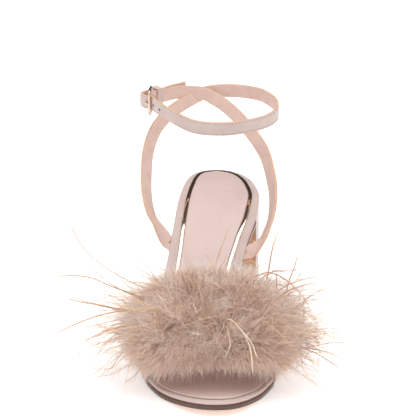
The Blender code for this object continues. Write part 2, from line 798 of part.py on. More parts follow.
def featherBody():
    """Bare body with the vamp strap's seat cut out, and its locks: foot, lean and length."""
    rng = random.Random(SEED)
    shape = bmesh.new()
    bmesh.ops.create_uvsphere(shape, u_segments=LOCK_SIDES, v_segments=LOCK_RINGS, radius=1)
    locked = [face for face in shape.faces if len(face.verts) == 4
              and aroundShare(face.calc_center_median()) < LOCKED_SHARE]
    locked.sort(key=lambda face: [round(c, 4) for c in face.calc_center_median()])
    for vertex in shape.verts:
        along = 0.5 + math.asin(max(-1.0, min(1.0, vertex.co.z))) / math.pi
        vertex.co = bodyPoint(aroundShare(vertex.co), along)
    shape.normal_update()
    bmesh.ops.recalc_face_normals(shape, faces=shape.faces)
    locks = [(face.calc_center_median(),
              Vector([rng.uniform(-LOCK_LEAN, LOCK_LEAN) for _ in range(3)]),
              LOCK_LENGTH * rng.uniform(*LOCK_LENGTHS)) for face in locked]
    body = addObject("trim_body", shape, None, CUTTERS)
    stations = [VAMP_BACK - SEAT_BEYOND, *(VAMP_BACK + i / VAMP_COLUMNS * (VAMP_FRONT - VAMP_BACK)
                for i in range(VAMP_COLUMNS + 1)), VAMP_FRONT + SEAT_BEYOND]
    under = [[overVamp(t, math.pi * i / VAMP_ROWS, TRIM_SEAT) for i in range(VAMP_ROWS + 1)]
             for t in stations]
    cut(body, loft("trim_seat", under, None, CUTTERS))
    graph = bpy.context.evaluated_depsgraph_get()
    return bpy.data.meshes.new_from_object(body.evaluated_get(graph)), locks


def featherTrim():
    """Feather body with tapered locks drawn out of its outer faces."""
    mesh, locks = featherBody()
    shape = bmesh.new()
    shape.from_mesh(mesh)
    bpy.data.meshes.remove(mesh)
    for face in list(shape.faces):
        centre = face.calc_center_median()
        foot, loose, length = min(locks, key=lambda lock: (centre - lock[0]).length)
        if (centre - foot).length > GAP / 10:
            continue
        sideways = Vector((centre.x / BALL_WIDTH, 0, 0))
        way = (face.normal + sideways + loose).normalized()
        length *= 1 + LOCK_REACH * abs(centre.x) / BALL_WIDTH
        way.z = max(way.z, (BOARD_TOP + SOCK + LOCK_CLEARANCE - centre.z) / length)
        tip = face
        for reach, scale in LOCK_STEPS:
            tip = bmesh.ops.extrude_discrete_faces(shape, faces=[tip])["faces"][0]
            heart = tip.calc_center_median()
            for vertex in tip.verts:
                vertex.co = heart + (vertex.co - heart) * scale + way * length * reach
    addObject("feather_trim", shape, FEATHER)


def main():
    board = layer("insole_board", SUEDE, BOARD_LIFT, INSOLE, lambda t: EDGE_STEP)
    layer("sock", SOCK_LEATHER, BOARD_TOP + GAP, SOCK, sockInset)
    outsole()
    heel()
    trimStrip()
    straps(board)
    vampStrap(board)
    featherTrim()


main()
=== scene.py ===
# Ankle strap sandal on a block heel, with marabou and ostrich feather over the vamp strap.
# Metres, +Z up, toe towards -Y, medial side towards +X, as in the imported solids.
import json
import math
import random

import bmesh
import bpy
from mathutils import Matrix, Vector, noise

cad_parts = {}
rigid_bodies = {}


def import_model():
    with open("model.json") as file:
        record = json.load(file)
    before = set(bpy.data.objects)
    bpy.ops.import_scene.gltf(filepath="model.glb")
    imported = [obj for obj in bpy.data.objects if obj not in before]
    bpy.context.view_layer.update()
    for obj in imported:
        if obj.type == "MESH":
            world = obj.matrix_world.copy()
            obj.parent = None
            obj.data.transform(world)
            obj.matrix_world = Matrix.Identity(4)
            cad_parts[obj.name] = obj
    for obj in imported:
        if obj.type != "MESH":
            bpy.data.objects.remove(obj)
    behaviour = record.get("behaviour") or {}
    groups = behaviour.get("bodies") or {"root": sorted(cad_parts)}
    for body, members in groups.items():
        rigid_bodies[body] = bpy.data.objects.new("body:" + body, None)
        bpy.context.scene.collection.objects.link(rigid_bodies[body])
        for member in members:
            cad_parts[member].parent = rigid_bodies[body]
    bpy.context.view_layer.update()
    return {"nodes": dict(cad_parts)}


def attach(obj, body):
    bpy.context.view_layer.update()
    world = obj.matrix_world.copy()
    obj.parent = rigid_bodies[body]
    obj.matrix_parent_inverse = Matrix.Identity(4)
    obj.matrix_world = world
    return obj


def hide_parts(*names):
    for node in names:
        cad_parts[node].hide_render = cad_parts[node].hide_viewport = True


noise.seed_set(5)    # noise_vector would start from the clock otherwise
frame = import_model()
nodes = frame["nodes"]
mm = 0.001
upright = Vector((0, 0, 1))
print("frame loaded,", len(nodes), "solids")

# Camera, at the photograph's angle
view = {
    "target": (0, 59.745, 70),    # mm
    "distance": 1150,
    "elevation": 22.5,            # degrees
    "lens": 148.18,
    "shift": (-0.0029, 0.1112),
}


def addCamera():
    tilt = math.radians(view["elevation"])
    camera = bpy.data.objects.new("camera", bpy.data.cameras.new("camera"))
    bpy.context.scene.collection.objects.link(camera)
    back = Vector((0, -math.cos(tilt), math.sin(tilt)))
    camera.location = mm * (Vector(view["target"]) + view["distance"] * back)
    camera.rotation_euler = (math.pi / 2 - tilt, 0, 0)
    camera.data.lens = view["lens"]
    camera.data.shift_x, camera.data.shift_y = view["shift"]
    bpy.context.scene.camera = camera


# Materials

def toLinear(hexColour):
    channels = [int(hexColour[i:i + 2], 16) / 255 for i in (0, 2, 4)]
    return (*(c / 12.92 if c <= 0.04045 else ((c + 0.055) / 1.055) ** 2.4 for c in channels), 1)


def addNode(tree, kind, settings=None, links=None):
    node = tree.nodes.new(kind)
    for name, value in (settings or {}).items():
        if isinstance(name, str) and hasattr(node, name):
            setattr(node, name, value)
        else:
            node.inputs[name].default_value = value
    for name, source in (links or {}).items():
        tree.links.new(source, node.inputs[name])
    return node


def newMaterial(name, settings):
    material = bpy.data.materials.new(name)
    material.use_nodes = True
    tree = material.node_tree
    shader = tree.nodes["Principled BSDF"]
    for socket, value in settings.items():
        shader.inputs[socket].default_value = value
    return material, tree, shader


def blendColours(tree, factor, low, high):
    blend = addNode(tree, "ShaderNodeMix", {"data_type": "RGBA"}, {0: factor})
    for place, colour in ((6, low), (7, high)):
        if isinstance(colour, str):
            blend.inputs[place].default_value = toLinear(colour)
        else:
            tree.links.new(colour, blend.inputs[place])
    return blend.outputs[2]


def leatherMaterial(name, look):
    material, tree, shader = newMaterial(name, look["shader"])
    place = addNode(tree, "ShaderNodeTexCoord").outputs["Object"]
    drawn = addNode(tree, "ShaderNodeMapping", {"Scale": look.get("stretch", (1, 1, 1))},
                    {"Vector": place}).outputs["Vector"]
    grain = addNode(tree, "ShaderNodeTexNoise", {"Scale": 1 / (look["grain"] * mm), "Detail": 3.0,
                                                 "Roughness": 0.6}, {"Vector": drawn})
    cloud = addNode(tree, "ShaderNodeTexNoise", {"Scale": 1 / (look["cloud"] * mm), "Detail": 2.0},
                    {"Vector": place})
    mixed = addNode(tree, "ShaderNodeMath", {"operation": "MULTIPLY_ADD", 1: look["grainShare"], 2: 0.0},
                    {0: grain.outputs["Fac"]})
    spread = addNode(tree, "ShaderNodeMath", {"operation": "MULTIPLY_ADD", 1: 1 - look["grainShare"]},
                     {0: cloud.outputs["Fac"], 2: mixed.outputs[0]})
    wide = addNode(tree, "ShaderNodeMapRange", {"From Min": 0.3, "From Max": 0.7},
                   {"Value": spread.outputs[0]})
    colour = blendColours(tree, wide.outputs["Result"], look["shade"], look["colour"])
    tree.links.new(colour, shader.inputs["Base Color"])
    bump = addNode(tree, "ShaderNodeBump", {"Strength": look["bump"], "Distance": look["grain"] * mm / 2},
                   {"Height": grain.outputs["Fac"]})
    tree.links.new(bump.outputs["Normal"], shader.inputs["Normal"])
    return material


# Suede: the brushed nap scatters light, so it is matt with a soft pale bloom at grazing angles
blushSuede = leatherMaterial("blush_suede", {
    "shader": {"Roughness": 0.92, "Sheen Weight": 0.25, "Sheen Roughness": 0.5},
    "colour": "DBC8C1", "shade": "CAB5AE", "grain": 0.5, "cloud": 12, "grainShare": 0.6, "bump": 0.55})
# Pigskin lining: smooth and pink, with a fine grain
strapLining = leatherMaterial("pigskin_lining", {
    "shader": {"Roughness": 0.6}, "stretch": (1, 1, 1),
    "colour": "E6CABF", "shade": "D6B6AA", "grain": 0.45, "cloud": 6, "grainShare": 0.5, "bump": 0.4})
# Cut edge of vegetable tanned leather: warm tan, fibrous
cutEdge = leatherMaterial("cut_leather_edge", {
    "shader": {"Roughness": 0.7},
    "colour": "E6C4AC", "shade": "D6AC90", "grain": 0.3, "cloud": 5, "grainShare": 0.5, "bump": 0.4})
# Glazed kid sock: pale and faintly glossy, brushed lengthwise
sockKid = leatherMaterial("glazed_kid_sock", {
    "shader": {"Roughness": 0.48}, "stretch": (1, 0.06, 0.3),
    "colour": "E2CBC5", "shade": "D6BDB6", "grain": 0.35, "cloud": 14, "grainShare": 0.6, "bump": 0.25})
# Heel cover suede: greyer where it is stretched over the block
heelSuede = leatherMaterial("heel_cover_suede", {
    "shader": {"Roughness": 0.92, "Sheen Weight": 0.25, "Sheen Roughness": 0.5},
    "colour": "D8CAC6", "shade": "CCBCB7", "grain": 0.5, "cloud": 16, "grainShare": 0.6, "bump": 0.5})
# Oak bark tanned sole leather: warm tan, polished
soleTan = leatherMaterial("sole_leather_tan", {
    "shader": {"Roughness": 0.38, "Coat Weight": 0.15, "Coat Roughness": 0.25},
    "colour": "CF9B6E", "shade": "B98357", "grain": 0.6, "cloud": 12, "grainShare": 0.4, "bump": 0.2})
# Inked and waxed sole edge: dark brown with a sharp shine
soleEdge = leatherMaterial("inked_sole_edge", {
    "shader": {"Roughness": 0.25, "Coat Weight": 0.4, "Coat Roughness": 0.12},
    "colour": "5C3E33", "shade": "452A22", "grain": 0.5, "cloud": 6, "grainShare": 0.4, "bump": 0.15})
# Moulded rubber top piece: dull brown
tipRubber = leatherMaterial("moulded_rubber", {
    "shader": {"Roughness": 0.75},
    "colour": "6B4E40", "shade": "59402F", "grain": 0.4, "cloud": 5, "grainShare": 0.5, "bump": 0.2})
# Mirror foil strip: champagne metal, nearly a mirror
polishedStrip = leatherMaterial("mirror_foil", {
    "shader": {"Roughness": 0.08, "Metallic": 1.0},
    "colour": "EAD6C8", "shade": "DFC7B6", "grain": 1.5, "cloud": 10, "grainShare": 0.3, "bump": 0.03})
# Plated zinc buckle: pale gold, lightly brushed
paleGold = leatherMaterial("plated_zinc", {
    "shader": {"Roughness": 0.28, "Metallic": 1.0},
    "colour": "E8D2C4", "shade": "D6BBA9", "grain": 0.3, "cloud": 5, "grainShare": 0.5, "bump": 0.08})
# Polyester thread, and the needle's holes, which look like dark dots: their colour is painted shade for the
# holes
seamThread = leatherMaterial("polyester_thread", {
    "shader": {"Roughness": 0.6},
    "colour": "CDB4AC", "shade": "BBA098", "grain": 0.2, "cloud": 3, "grainShare": 0.5, "bump": 0.3})
paintedHoleShade = leatherMaterial("needle_hole", {
    "shader": {"Roughness": 0.9},
    "colour": "74595A", "shade": "5E4645", "grain": 0.2, "cloud": 3, "grainShare": 0.5, "bump": 0.3})


def featherMaterial(name, root, middle, tip, other):
    # Thin horny fibres: light passes on into the fluff, so the shader scatters under the surface.
    # The emission is painted light: a faint glow in the feather's own colour everywhere, brightening the
    # fluff its barbs shade
    material, tree, shader = newMaterial(name, {
        "Roughness": 0.75, "Subsurface Weight": 1.0, "Subsurface Radius": (1.0, 0.85, 0.75),
        "Subsurface Scale": 0.4 * mm, "Sheen Weight": 0.4, "Sheen Roughness": 0.5,
        "Emission Strength": 0.15})
    along = addNode(tree, "ShaderNodeAttribute", {"attribute_name": "along"}).outputs["Fac"]
    tint = addNode(tree, "ShaderNodeAttribute", {"attribute_name": "tint"}).outputs["Fac"]
    low = addNode(tree, "ShaderNodeMapRange", {"From Max": 0.45}, {"Value": along}).outputs["Result"]
    high = addNode(tree, "ShaderNodeMapRange", {"From Min": 0.45}, {"Value": along}).outputs["Result"]
    body = blendColours(tree, low, root, middle)
    body = blendColours(tree, high, body, tip)
    tinted = addNode(tree, "ShaderNodeMath", {"operation": "MULTIPLY", 1: 0.75}, {0: tint})
    # Painted shade: lower down, under the strap's crown, the fluff is blended towards the darker root colour,
    # and it stays pale at its top
    place = addNode(tree, "ShaderNodeTexCoord").outputs["Object"]
    height = addNode(tree, "ShaderNodeSeparateXYZ", {}, {"Vector": place}).outputs["Z"]
    lowShadeShare = addNode(tree, "ShaderNodeMapRange", {
        "From Min": 0.052, "From Max": 0.012, "To Max": 0.5}, {"Value": height}).outputs["Result"]
    paintedLowShade = blendColours(tree, lowShadeShare, body, root)
    dyedAndShaded = blendColours(tree, tinted.outputs[0], paintedLowShade, other)
    tree.links.new(dyedAndShaded, shader.inputs["Base Color"])
    # Painted light: the feather glows faintly in its own colour
    tree.links.new(dyedAndShaded, shader.inputs["Emission Color"])
    return material


# Marabou down: dyed turkey fluff, dark near the quill and pale at the tips of its barbs
marabouDown = featherMaterial("marabou_down", "AC836E", "ECCDBB", "FFF0E6", "C39273")
# Ostrich strands: longer and warmer, with a slight shine
ostrichStrand = featherMaterial("ostrich_strand", "A87A5C", "BF9272", "CBA080", "F6DDBF")
# Curled strands: fuzzy and greyer; their dark root colour is painted shade for the hollows between them
curlFeather = featherMaterial("curled_marabou", "8C6656", "C9A28F", "F3DDD0", "9E705A")
# Dense down at the strap: mauve brown, since little light reaches it
coreDown = leatherMaterial("packed_down", {
    "shader": {"Roughness": 0.95, "Sheen Weight": 0.3, "Sheen Roughness": 0.5},
    "colour": "D0AC98", "shade": "96705E", "grain": 0.7, "cloud": 4, "grainShare": 0.6, "bump": 0.9})
# Bare quill ends: cream horn
quillHorn = featherMaterial("quill_horn", "E6CDB6", "EFDCC8", "F4E6D6", "E9CDB0")
print("materials made")


# Small helpers for shapes

def ease(x, low, high):
    s = min(max((x - low) / (high - low), 0.0), 1.0)
    return s * s * (3 - 2 * s)


def smooth(rows, x, column=1):    # monotone cubic curve through a column of a table
    xs = [row[0] for row in rows]
    ys = [row[column] for row in rows]
    if x <= xs[0]:
        return ys[0]
    if x >= xs[-1]:
        return ys[-1]
    steps = [b - a for a, b in zip(xs, xs[1:])]
    slopes = [(b - a) / h for a, b, h in zip(ys, ys[1:], steps)]
    bends = [slopes[0]]
    for i in range(1, len(slopes)):
        before, after = slopes[i - 1], slopes[i]
        if before * after <= 0:
            bends.append(0.0)
        else:
            w1, w2 = 2 * steps[i] + steps[i - 1], steps[i] + 2 * steps[i - 1]
            bends.append((w1 + w2) / (w1 / before + w2 / after))
    bends.append(slopes[-1])
    k = max(i for i in range(len(steps)) if xs[i] <= x)
    s = (x - xs[k]) / steps[k]
    return ((1 + 2 * s) * (1 - s) ** 2 * ys[k] + s * (1 - s) ** 2 * steps[k] * bends[k]
            + s * s * (3 - 2 * s) * ys[k + 1] + s * s * (s - 1) * steps[k] * bends[k + 1])


def through(points, step):    # smooth curve through points, about a step apart
    ends = [2 * points[0] - points[1], *points, 2 * points[-1] - points[-2]]
    curve = []
    for before, start, end, after in zip(ends, ends[1:], ends[2:], ends[3:]):
        count = max(1, round((end - start).length / step))
        for i in range(count):
            s = i / count
            curve.append(0.5 * (2 * start + (end - before) * s
                                + (2 * before - 5 * start + 4 * end - after) * s * s
                                + (3 * start - before - 3 * end + after) * s ** 3))
    return curve + [points[-1]]


def tubeFaces(shape, rings, caps=True, surfaces=None):    # closed body through rings
    loops = [[shape.verts.new(point) for point in ring] for ring in rings]
    for a, b in zip(loops, loops[1:]):
        for i in range(len(a)):
            face = shape.faces.new((a[i - 1], a[i], b[i], b[i - 1]))
            if surfaces:
                face.material_index = surfaces[i]
    if caps:
        for loop in (loops[0], loops[-1]):
            shape.faces.new(loop).material_index = max(surfaces or (0,)) if surfaces else 0


def keepPiece(name, mesh, materials, replaced=(), sharp=40):
    for material in materials:
        mesh.materials.append(material)
    mesh.shade_smooth()
    mesh.set_sharp_from_angle(angle=math.radians(sharp))
    piece = bpy.data.objects.new(name, mesh)
    bpy.context.scene.collection.objects.link(piece)
    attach(piece, "root")
    if replaced:
        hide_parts(*replaced)
    return piece


def fromShape(name, shape, materials, replaced=(), sharp=40):
    bmesh.ops.remove_doubles(shape, verts=shape.verts, dist=1e-6)
    bmesh.ops.dissolve_degenerate(shape, edges=shape.edges, dist=1e-6)
    bmesh.ops.recalc_face_normals(shape, faces=shape.faces)
    mesh = bpy.data.meshes.new(name)
    shape.to_mesh(mesh)
    shape.free()
    return keepPiece(name, mesh, materials, replaced, sharp)


# Last and sole, as in the solids: mm and shares
last = {
    "length": 214.5, "ball": 88, "heel": 84, "flat": 0.81,
    "outsole": 3, "insole": 2.8, "edgeStep": 0.4, "sock": 1, "gap": 0.3,
    "stripWidth": 2.5, "stripThickness": 0.7, "stripEnd": 0.63, "toeMargin": 3,
    "tread": ((0, 1), (.1, .983), (.2, .932), (.3, .818), (.4, .64), (.5, .415), (.6, .2),
              (.68, .065), (.76, 0), (.86, 0), (1, .055)),
    "plan": ((0, .065, .065), (.02, -.097, .216), (.06, -.165, .307), (.12, -.209, .375),
             (.19, -.244, .409), (.28, -.277, .373), (.38, -.315, .29), (.47, -.367, .236),
             (.56, -.434, .284), (.64, -.484, .395), (.71, -.506, .483), (.78, -.476, .49),
             (.85, -.4, .428), (.91, -.303, .35), (.96, -.19, .262), (.99, -.075, .172),
             (1, .049, .049)),
    "border": ((0, .045), (.12, .062), (.3, .068), (.5, .085), (.65, .09), (1, .09)),
}
length, ball = last["length"] * mm, last["ball"] * mm
gap = last["gap"] * mm
boardLift = last["outsole"] * mm + gap
boardTop = boardLift + last["insole"] * mm


def stationY(t):
    return length * (last["flat"] - t)


def yStation(y):
    return last["flat"] - y / length


def treadZ(t):
    return last["heel"] * mm * smooth(last["tread"], t)


def soleNormal(t):
    step = 0.004
    rise = treadZ(t - step) - treadZ(t + step)
    return Vector((0, -rise, 2 * step * length)).normalized()


def footbed(t, x, lift):
    return Vector((x, stationY(t), treadZ(t))) + lift * soleNormal(t)


def turn(t):
    return math.acos(1 - 2 * min(max(t, 0.0), 1.0)) / math.pi


planTurns = [(turn(t), a * ball, b * ball) for t, a, b in last["plan"]]


def edgeX(t, side):    # side 1 is lateral, side 2 is medial
    return smooth(planTurns, turn(t), side)


def rim(s):    # outline in plan: 0 heel back, up to 1 lateral to the toe, back by 2
    s = s % 2
    u, side = (s, 1) if s <= 1 else (2 - s, 2)
    t = (1 - math.cos(math.pi * u)) / 2
    return Vector((edgeX(t, side), stationY(t)))


def rimInside(s, inset):
    step = 0.004
    along = rim(s + step) - rim(s - step)
    return rim(s) + inset * Vector((-along.y, along.x)).normalized()


def onSole(flat, lift):
    return footbed(yStation(flat.y), flat.x, lift)


def borderAt(t):
    return ball * smooth(last["border"], t)


def sockInset(t):
    held = 1 - ease(t, last["stripEnd"], last["stripEnd"] + 0.12)
    full = borderAt(t) + last["stripWidth"] * mm + gap
    return full * held + last["toeMargin"] * mm * (1 - held)


def soleSlab(name, inset, low, high, corner, crown, material):    # rounded slab over the sole
    arc = [math.pi / 2 * i / 4 for i in range(5)]
    profile = [(corner * (1 - math.sin(a)), low + corner * (1 - math.cos(a))) for a in arc]
    profile += [(corner * (1 - math.cos(a)), high - corner * (1 - math.sin(a))) for a in arc]
    rows, columns = 130, 12
    rings = []
    for i in range(rows + 1):
        u = i / rows
        depth = inset((1 - math.cos(math.pi * u)) / 2)
        left = [(rimInside(u, depth + d), lift) for d, lift in profile]
        right = [(rimInside(2 - u, depth + d), lift) for d, lift in profile]
        shares = [k / columns for k in range(1, columns)]
        top = [(left[-1][0].lerp(right[-1][0], k), high + crown * ease(min(k, 1 - k), 0, 0.2))
               for k in shares]
        under = [(right[0][0].lerp(left[0][0], k), low) for k in shares]
        rings.append([onSole(*p) for p in left + top + right[::-1] + under])
    shape = bmesh.new()
    tubeFaces(shape, rings, caps=False)
    return fromShape(name, shape, [material], [name])


def stripBand():
    reach = turn(last["stripEnd"])
    wide, tall, corner = last["stripWidth"] * mm, last["stripThickness"] * mm, 0.25 * mm
    section = ((0, 0), (0, tall - corner), (corner * .3, tall - corner * .3), (corner, tall),
               (wide / 2, tall + 0.1 * mm), (wide - corner, tall),
               (wide - corner * .3, tall - corner * .3), (wide, tall - corner), (wide, 0))
    rings = []
    for i in range(241):
        s = reach * (i / 120 - 1)
        t = (1 - math.cos(math.pi * abs(s))) / 2
        rings.append([onSole(rimInside(s, borderAt(t) + a), boardTop + gap + b) for a, b in section])
    shape = bmesh.new()
    tubeFaces(shape, rings)
    return fromShape("trim_strip", shape, [polishedStrip], ["trim_strip"], 60)


def refined(node, bevel, materials, pick=None):    # merged copy of a solid with softened edges
    shape = bmesh.new()
    shape.from_mesh(nodes[node].data)
    for vertex in shape.verts:
        vertex.co = nodes[node].matrix_world @ vertex.co
    bmesh.ops.remove_doubles(shape, verts=shape.verts, dist=1e-6)
    bmesh.ops.dissolve_limit(shape, angle_limit=math.radians(1.5), verts=shape.verts, edges=shape.edges)
    shape.normal_update()
    if pick:
        for face in shape.faces:
            face.material_index = pick(face)
    mesh = bpy.data.meshes.new(node + "_finished")
    shape.to_mesh(mesh)
    shape.free()
    piece = keepPiece(node, mesh, materials, [node], 35)
    soften = piece.modifiers.new("soften", "BEVEL")
    soften.width = bevel * mm
    soften.segments = 3
    soften.limit_method = "ANGLE"
    soften.angle_limit = math.radians(40)
    soften.harden_normals = False
    return piece


def onEdge(face):    # sides of the outsole
    n, y = face.normal, face.calc_center_median().y
    return 1 if abs(n.x) > 0.35 or (y < -0.015 and abs(n.z) < 0.6) else 0


def insideVamp(face):    # lining faces look in at the foot
    middle = face.calc_center_median()
    return 1 if face.normal.dot(middle - Vector((0.001, middle.y, 0.015))) < 0 else 0


def wrapSole():
    soleSlab("insole_board", lambda t: last["edgeStep"] * mm, boardLift, boardTop, 1.1 * mm, 0,
             blushSuede)
    soleSlab("sock", sockInset, boardTop + gap, boardTop + gap + last["sock"] * mm, 0.45 * mm,
             0.3 * mm, sockKid)
    stripBand()
    refined("outsole", 0.5, [soleTan, soleEdge], onEdge).modifiers["soften"].material = 1
    refined("heel_block", 0.6, [heelSuede])
    refined("heel_tip", 0.4, [tipRubber])
    refined("vamp_strap", 0.4, [blushSuede, strapLining], insideVamp)
    refined("strap_keeper", 0.35, [blushSuede])


# Straps, as in the solids: across, back, up and layer
straps = {
    "width": 9.3, "thickness": 2, "skived": 1, "tuck": 8, "ledge": 0.8, "step": 1,
    "stations": (0.36, 0.388), "loopWidth": 95, "loopDepth": 74, "setIn": 6, "rise": 60,
    "layer": 0.9, "looks": (0.17, 0.45), "crossingRows": (12, 14), "blend": (0.05, 0.02),
    "rootTurn": 22, "skiveRun": 6, "crown": 0.12, "groove": 0.12, "seam": 1.05, "corner": 0.45,
    "outer": ((-.74, .085, .17, 0), (-.848, .145, .255, 0), (-.912, .243, .375, 0),
              (-.925, .373, .5, 0), (-.902, .535, .643, 0), (-.804, .684, .768, 0),
              (-.653, .79, .85, 0), (-.436, .885, .915, 1), (-.21, .96, .966, 1),
              (-.063, .993, .995, 1), (.168, 1.015, 1.006, 1), (.463, 1, 1.01, 0),
              (.758, .9, 1.006, 0), (.935, .703, 1, 0), (.992, .527, .989, 0),
              (.95, .331, .983, 0), (.79, .176, .977, 0), (.522, .061, .972, 0),
              (.179, .007, .966, 0), (-.221, .047, .975, 0), (-.579, .264, 1.011, 0),
              (-.77, .44, 1.03, 0), (-.822, .525, 1.034, 0), (-.925, .565, 1.034, 0),
              (-.985, .625, 1.034, 0), (-.982, .674, 1.032, 0), (-.935, .734, 1.03, 0),
              (-.846, .772, 1.028, 0), (-.724, .816, 1.026, 0), (-.575, .923, 1.026, 0),
              (-.365, 1.031, 1.03, 0)),
    "inner": ((.756, -.011, .085, 0), (.845, .062, .158, 0), (.906, .131, .236, 0),
              (.937, .224, .342, 0), (.92, .33, .455, 0), (.832, .5, .611, 0),
              (.69, .624, .718, 0), (.457, .778, .843, -1), (.236, .888, .924, -1),
              (.08, .95, .963, -1), (-.063, .985, .993, -1), (-.288, .975, 1.01, -1),
              (-.5, .905, 1.022, 0), (-.69, .79, 1.026, 0), (-.79, .735, 1.03, 0),
              (-.848, .679, 1.037, 0), (-.864, .648, 1.038, 0)),
}


def strapPlace(across, back, up):
    root = footbed(straps["stations"][1], 0, boardLift)
    top = last["heel"] * mm + boardTop + straps["rise"] * mm
    y = stationY(0) - mm * (straps["setIn"] + straps["loopDepth"] * (1 - back))
    return Vector((across * straps["loopWidth"] * mm / 2, y, root.z + up * (top - root.z)))


def strapSections(route, side):    # middle, across, inward and length of each section
    station = straps["stations"][side - 1]
    s = turn(station) if side == 1 else 2 - turn(station)
    tuck, ledge = straps["tuck"] * mm, straps["ledge"] * mm
    under = boardLift + straps["skived"] * mm / 2
    points = [onSole(rimInside(s, inset), under) for inset in (tuck, tuck / 2, -ledge)]
    points += [strapPlace(*row[:3]) for row in route]
    layers = [0, 0, 0] + [row[3] for row in route]
    centres = through(points, straps["step"] * mm)
    lengths = [0.0]
    for a, b in zip(centres, centres[1:]):
        lengths.append(lengths[-1] + (b - a).length)
    marks = [lengths[min(range(len(centres)), key=lambda i: (centres[i] - p).length)] for p in points]
    steps = list(zip(marks, layers))
    crossing = marks[straps["crossingRows"][side - 1]]
    watched = strapPlace(0, straps["looks"][side - 1], 1)
    sections = []
    for i, centre in enumerate(centres):
        tangent = (centres[min(i + 1, len(centres) - 1)] - centres[max(i - 1, 0)]).normalized()
        if lengths[i] < tuck + 2 * ledge:
            tangent = (points[1] - points[0]).normalized()
        level = tangent.cross(upright) * (1 if side == 1 else -1)
        inward = (watched - centre).normalized().lerp(
            level.normalized(),
            ease(lengths[i], crossing - straps["blend"][0], crossing + straps["blend"][1]))
        turned = ease(lengths[i], tuck, tuck + straps["rootTurn"] * mm)
        inward = soleNormal(station).lerp(inward, turned)
        inward = (inward - inward.dot(tangent) * tangent).normalized()
        middle = centre - inward * smooth(steps, lengths[i]) * straps["layer"] * mm
        sections.append((middle, tangent.cross(inward), inward, lengths[i], tangent))
    return sections


def strapRing(section):
    middle, across, inward, run, tangent = section
    skive = ease(run, straps["tuck"] * mm, (straps["tuck"] + straps["skiveRun"]) * mm)
    thick = straps["skived"] + (straps["thickness"] - straps["skived"]) * skive
    w, h = straps["width"] / 2, thick / 2
    r = min(straps["corner"], h * 0.8)
    crown, groove, seam = straps["crown"] * skive, straps["groove"] * skive, straps["seam"]
    face = [(w - r, h), (w - seam + .3, h), (w - seam, h - groove), (w - seam - .3, h),
            (w - 2 * seam, h + crown * .7)]
    arc = [(w - r + r * math.sin(a), h - r + r * math.cos(a)) for a in (.5, 1.05, math.pi / 2)]
    lower = [(x, -y) for x, y in arc[::-1]] + [(w - r, -h), (w / 2, -h)]
    half = face[::-1] + arc + lower
    ring = [(0, h + crown)] + half + [(0, -h)] + [(-x, y) for x, y in half[::-1]]
    return [middle + mm * (x * across - y * inward) for x, y in ring]


def strapSurfaces():    # 0 suede, 1 lining, 2 cut edge, for the face that ends at each point
    half = [0] * 5 + [2] * 7 + [1]
    return [0] + half + [1] + [1] + half[::-1][:-1]


def makeStraps():
    shape = bmesh.new()
    paths = strapSections(straps["outer"], 1), strapSections(straps["inner"], 2)
    for path in paths:
        tubeFaces(shape, [strapRing(section) for section in path], True, strapSurfaces())
    fromShape("ankle_straps", shape, [blushSuede, strapLining, cutEdge],
              ["ankle_straps"], 50)
    return paths


# Feather trim: the vamp strap's arch as in the solids, mm and shares
vamp = {
    "back": 0.63, "front": 0.80, "wall": 1.8, "heights": (41, 35), "skew": 4, "lean": 0.5,
    "round": 0.84, "skived": 1,
}
trim = {
    "standTop": 15, "standSide": 27, "back": 0.575, "front": 0.875, "drop": 27, "start": 0.06,
    "fullness": 0.4, "coreShare": 0.55,
    "section": ((0, .1, 0), (.02, .5, 0), (.12, .85, 0), (.3, 1, 0), (.5, 1.04, 0), (.7, 1, 0),
                (.87, .9, .1), (.98, .8, .4), (1.02, .55, .8), (.98, .3, 1), (.9, .15, .8),
                (.78, -.04, 0), (.5, -.06, 0), (.22, -.04, 0)),
}


def archPoint(t, angle):
    lateral, medial = edgeX(t, 1) - gap, edgeX(t, 2) + gap
    half = (medial - lateral) / 2
    cosine = math.copysign(abs(math.cos(angle)) ** vamp["round"], math.cos(angle))
    rise = max(math.sin(angle), 0.0) ** vamp["round"]
    x = (lateral + medial) / 2 - half * cosine + vamp["skew"] * mm * rise
    up = soleNormal((vamp["back"] + vamp["front"]) / 2).lerp(upright, vamp["lean"]).normalized()
    share = (t - vamp["back"]) / (vamp["front"] - vamp["back"])
    height = vamp["heights"][0] + share * (vamp["heights"][1] - vamp["heights"][0])
    return footbed(t, x, boardLift + vamp["skived"] * mm) + (height + last["insole"]) * mm * rise * up


def archNormal(t, angle):
    step = 0.02
    around = archPoint(t, angle + step) - archPoint(t, angle - step)
    along = archPoint(t - step, angle) - archPoint(t + step, angle)
    return around.cross(along).normalized()


def overVamp(t, angle, stand):
    return archPoint(t, angle) + (vamp["wall"] * mm + stand) * archNormal(t, angle)


def bodyPoint(around, along, share):    # feather body, share of its full depth
    rows = trim["section"]
    place = around * len(rows)
    low = int(place) % len(rows)
    pair = rows[low], rows[(low + 1) % len(rows)]
    station, stand, drop = (a + (b - a) * (place - int(place)) for a, b in zip(*pair))
    angle = math.pi * (trim["start"] + (1 - 2 * trim["start"]) * along)
    full = max(math.sin(math.pi * along), 0.0) ** trim["fullness"]
    depth = trim["standTop"] + (trim["standSide"] - trim["standTop"]) * abs(math.cos(angle))
    middle, reach = (trim["back"] + trim["front"]) / 2, trim["front"] - trim["back"]
    t = middle + (station - 0.5) * full * reach * (0.6 + 0.4 * share)
    stand = stand * share if stand > 0 else stand
    point = overVamp(t, angle, stand * full * depth * mm)
    point.z -= trim["drop"] * mm * drop * full * math.sin(angle) * share
    return point


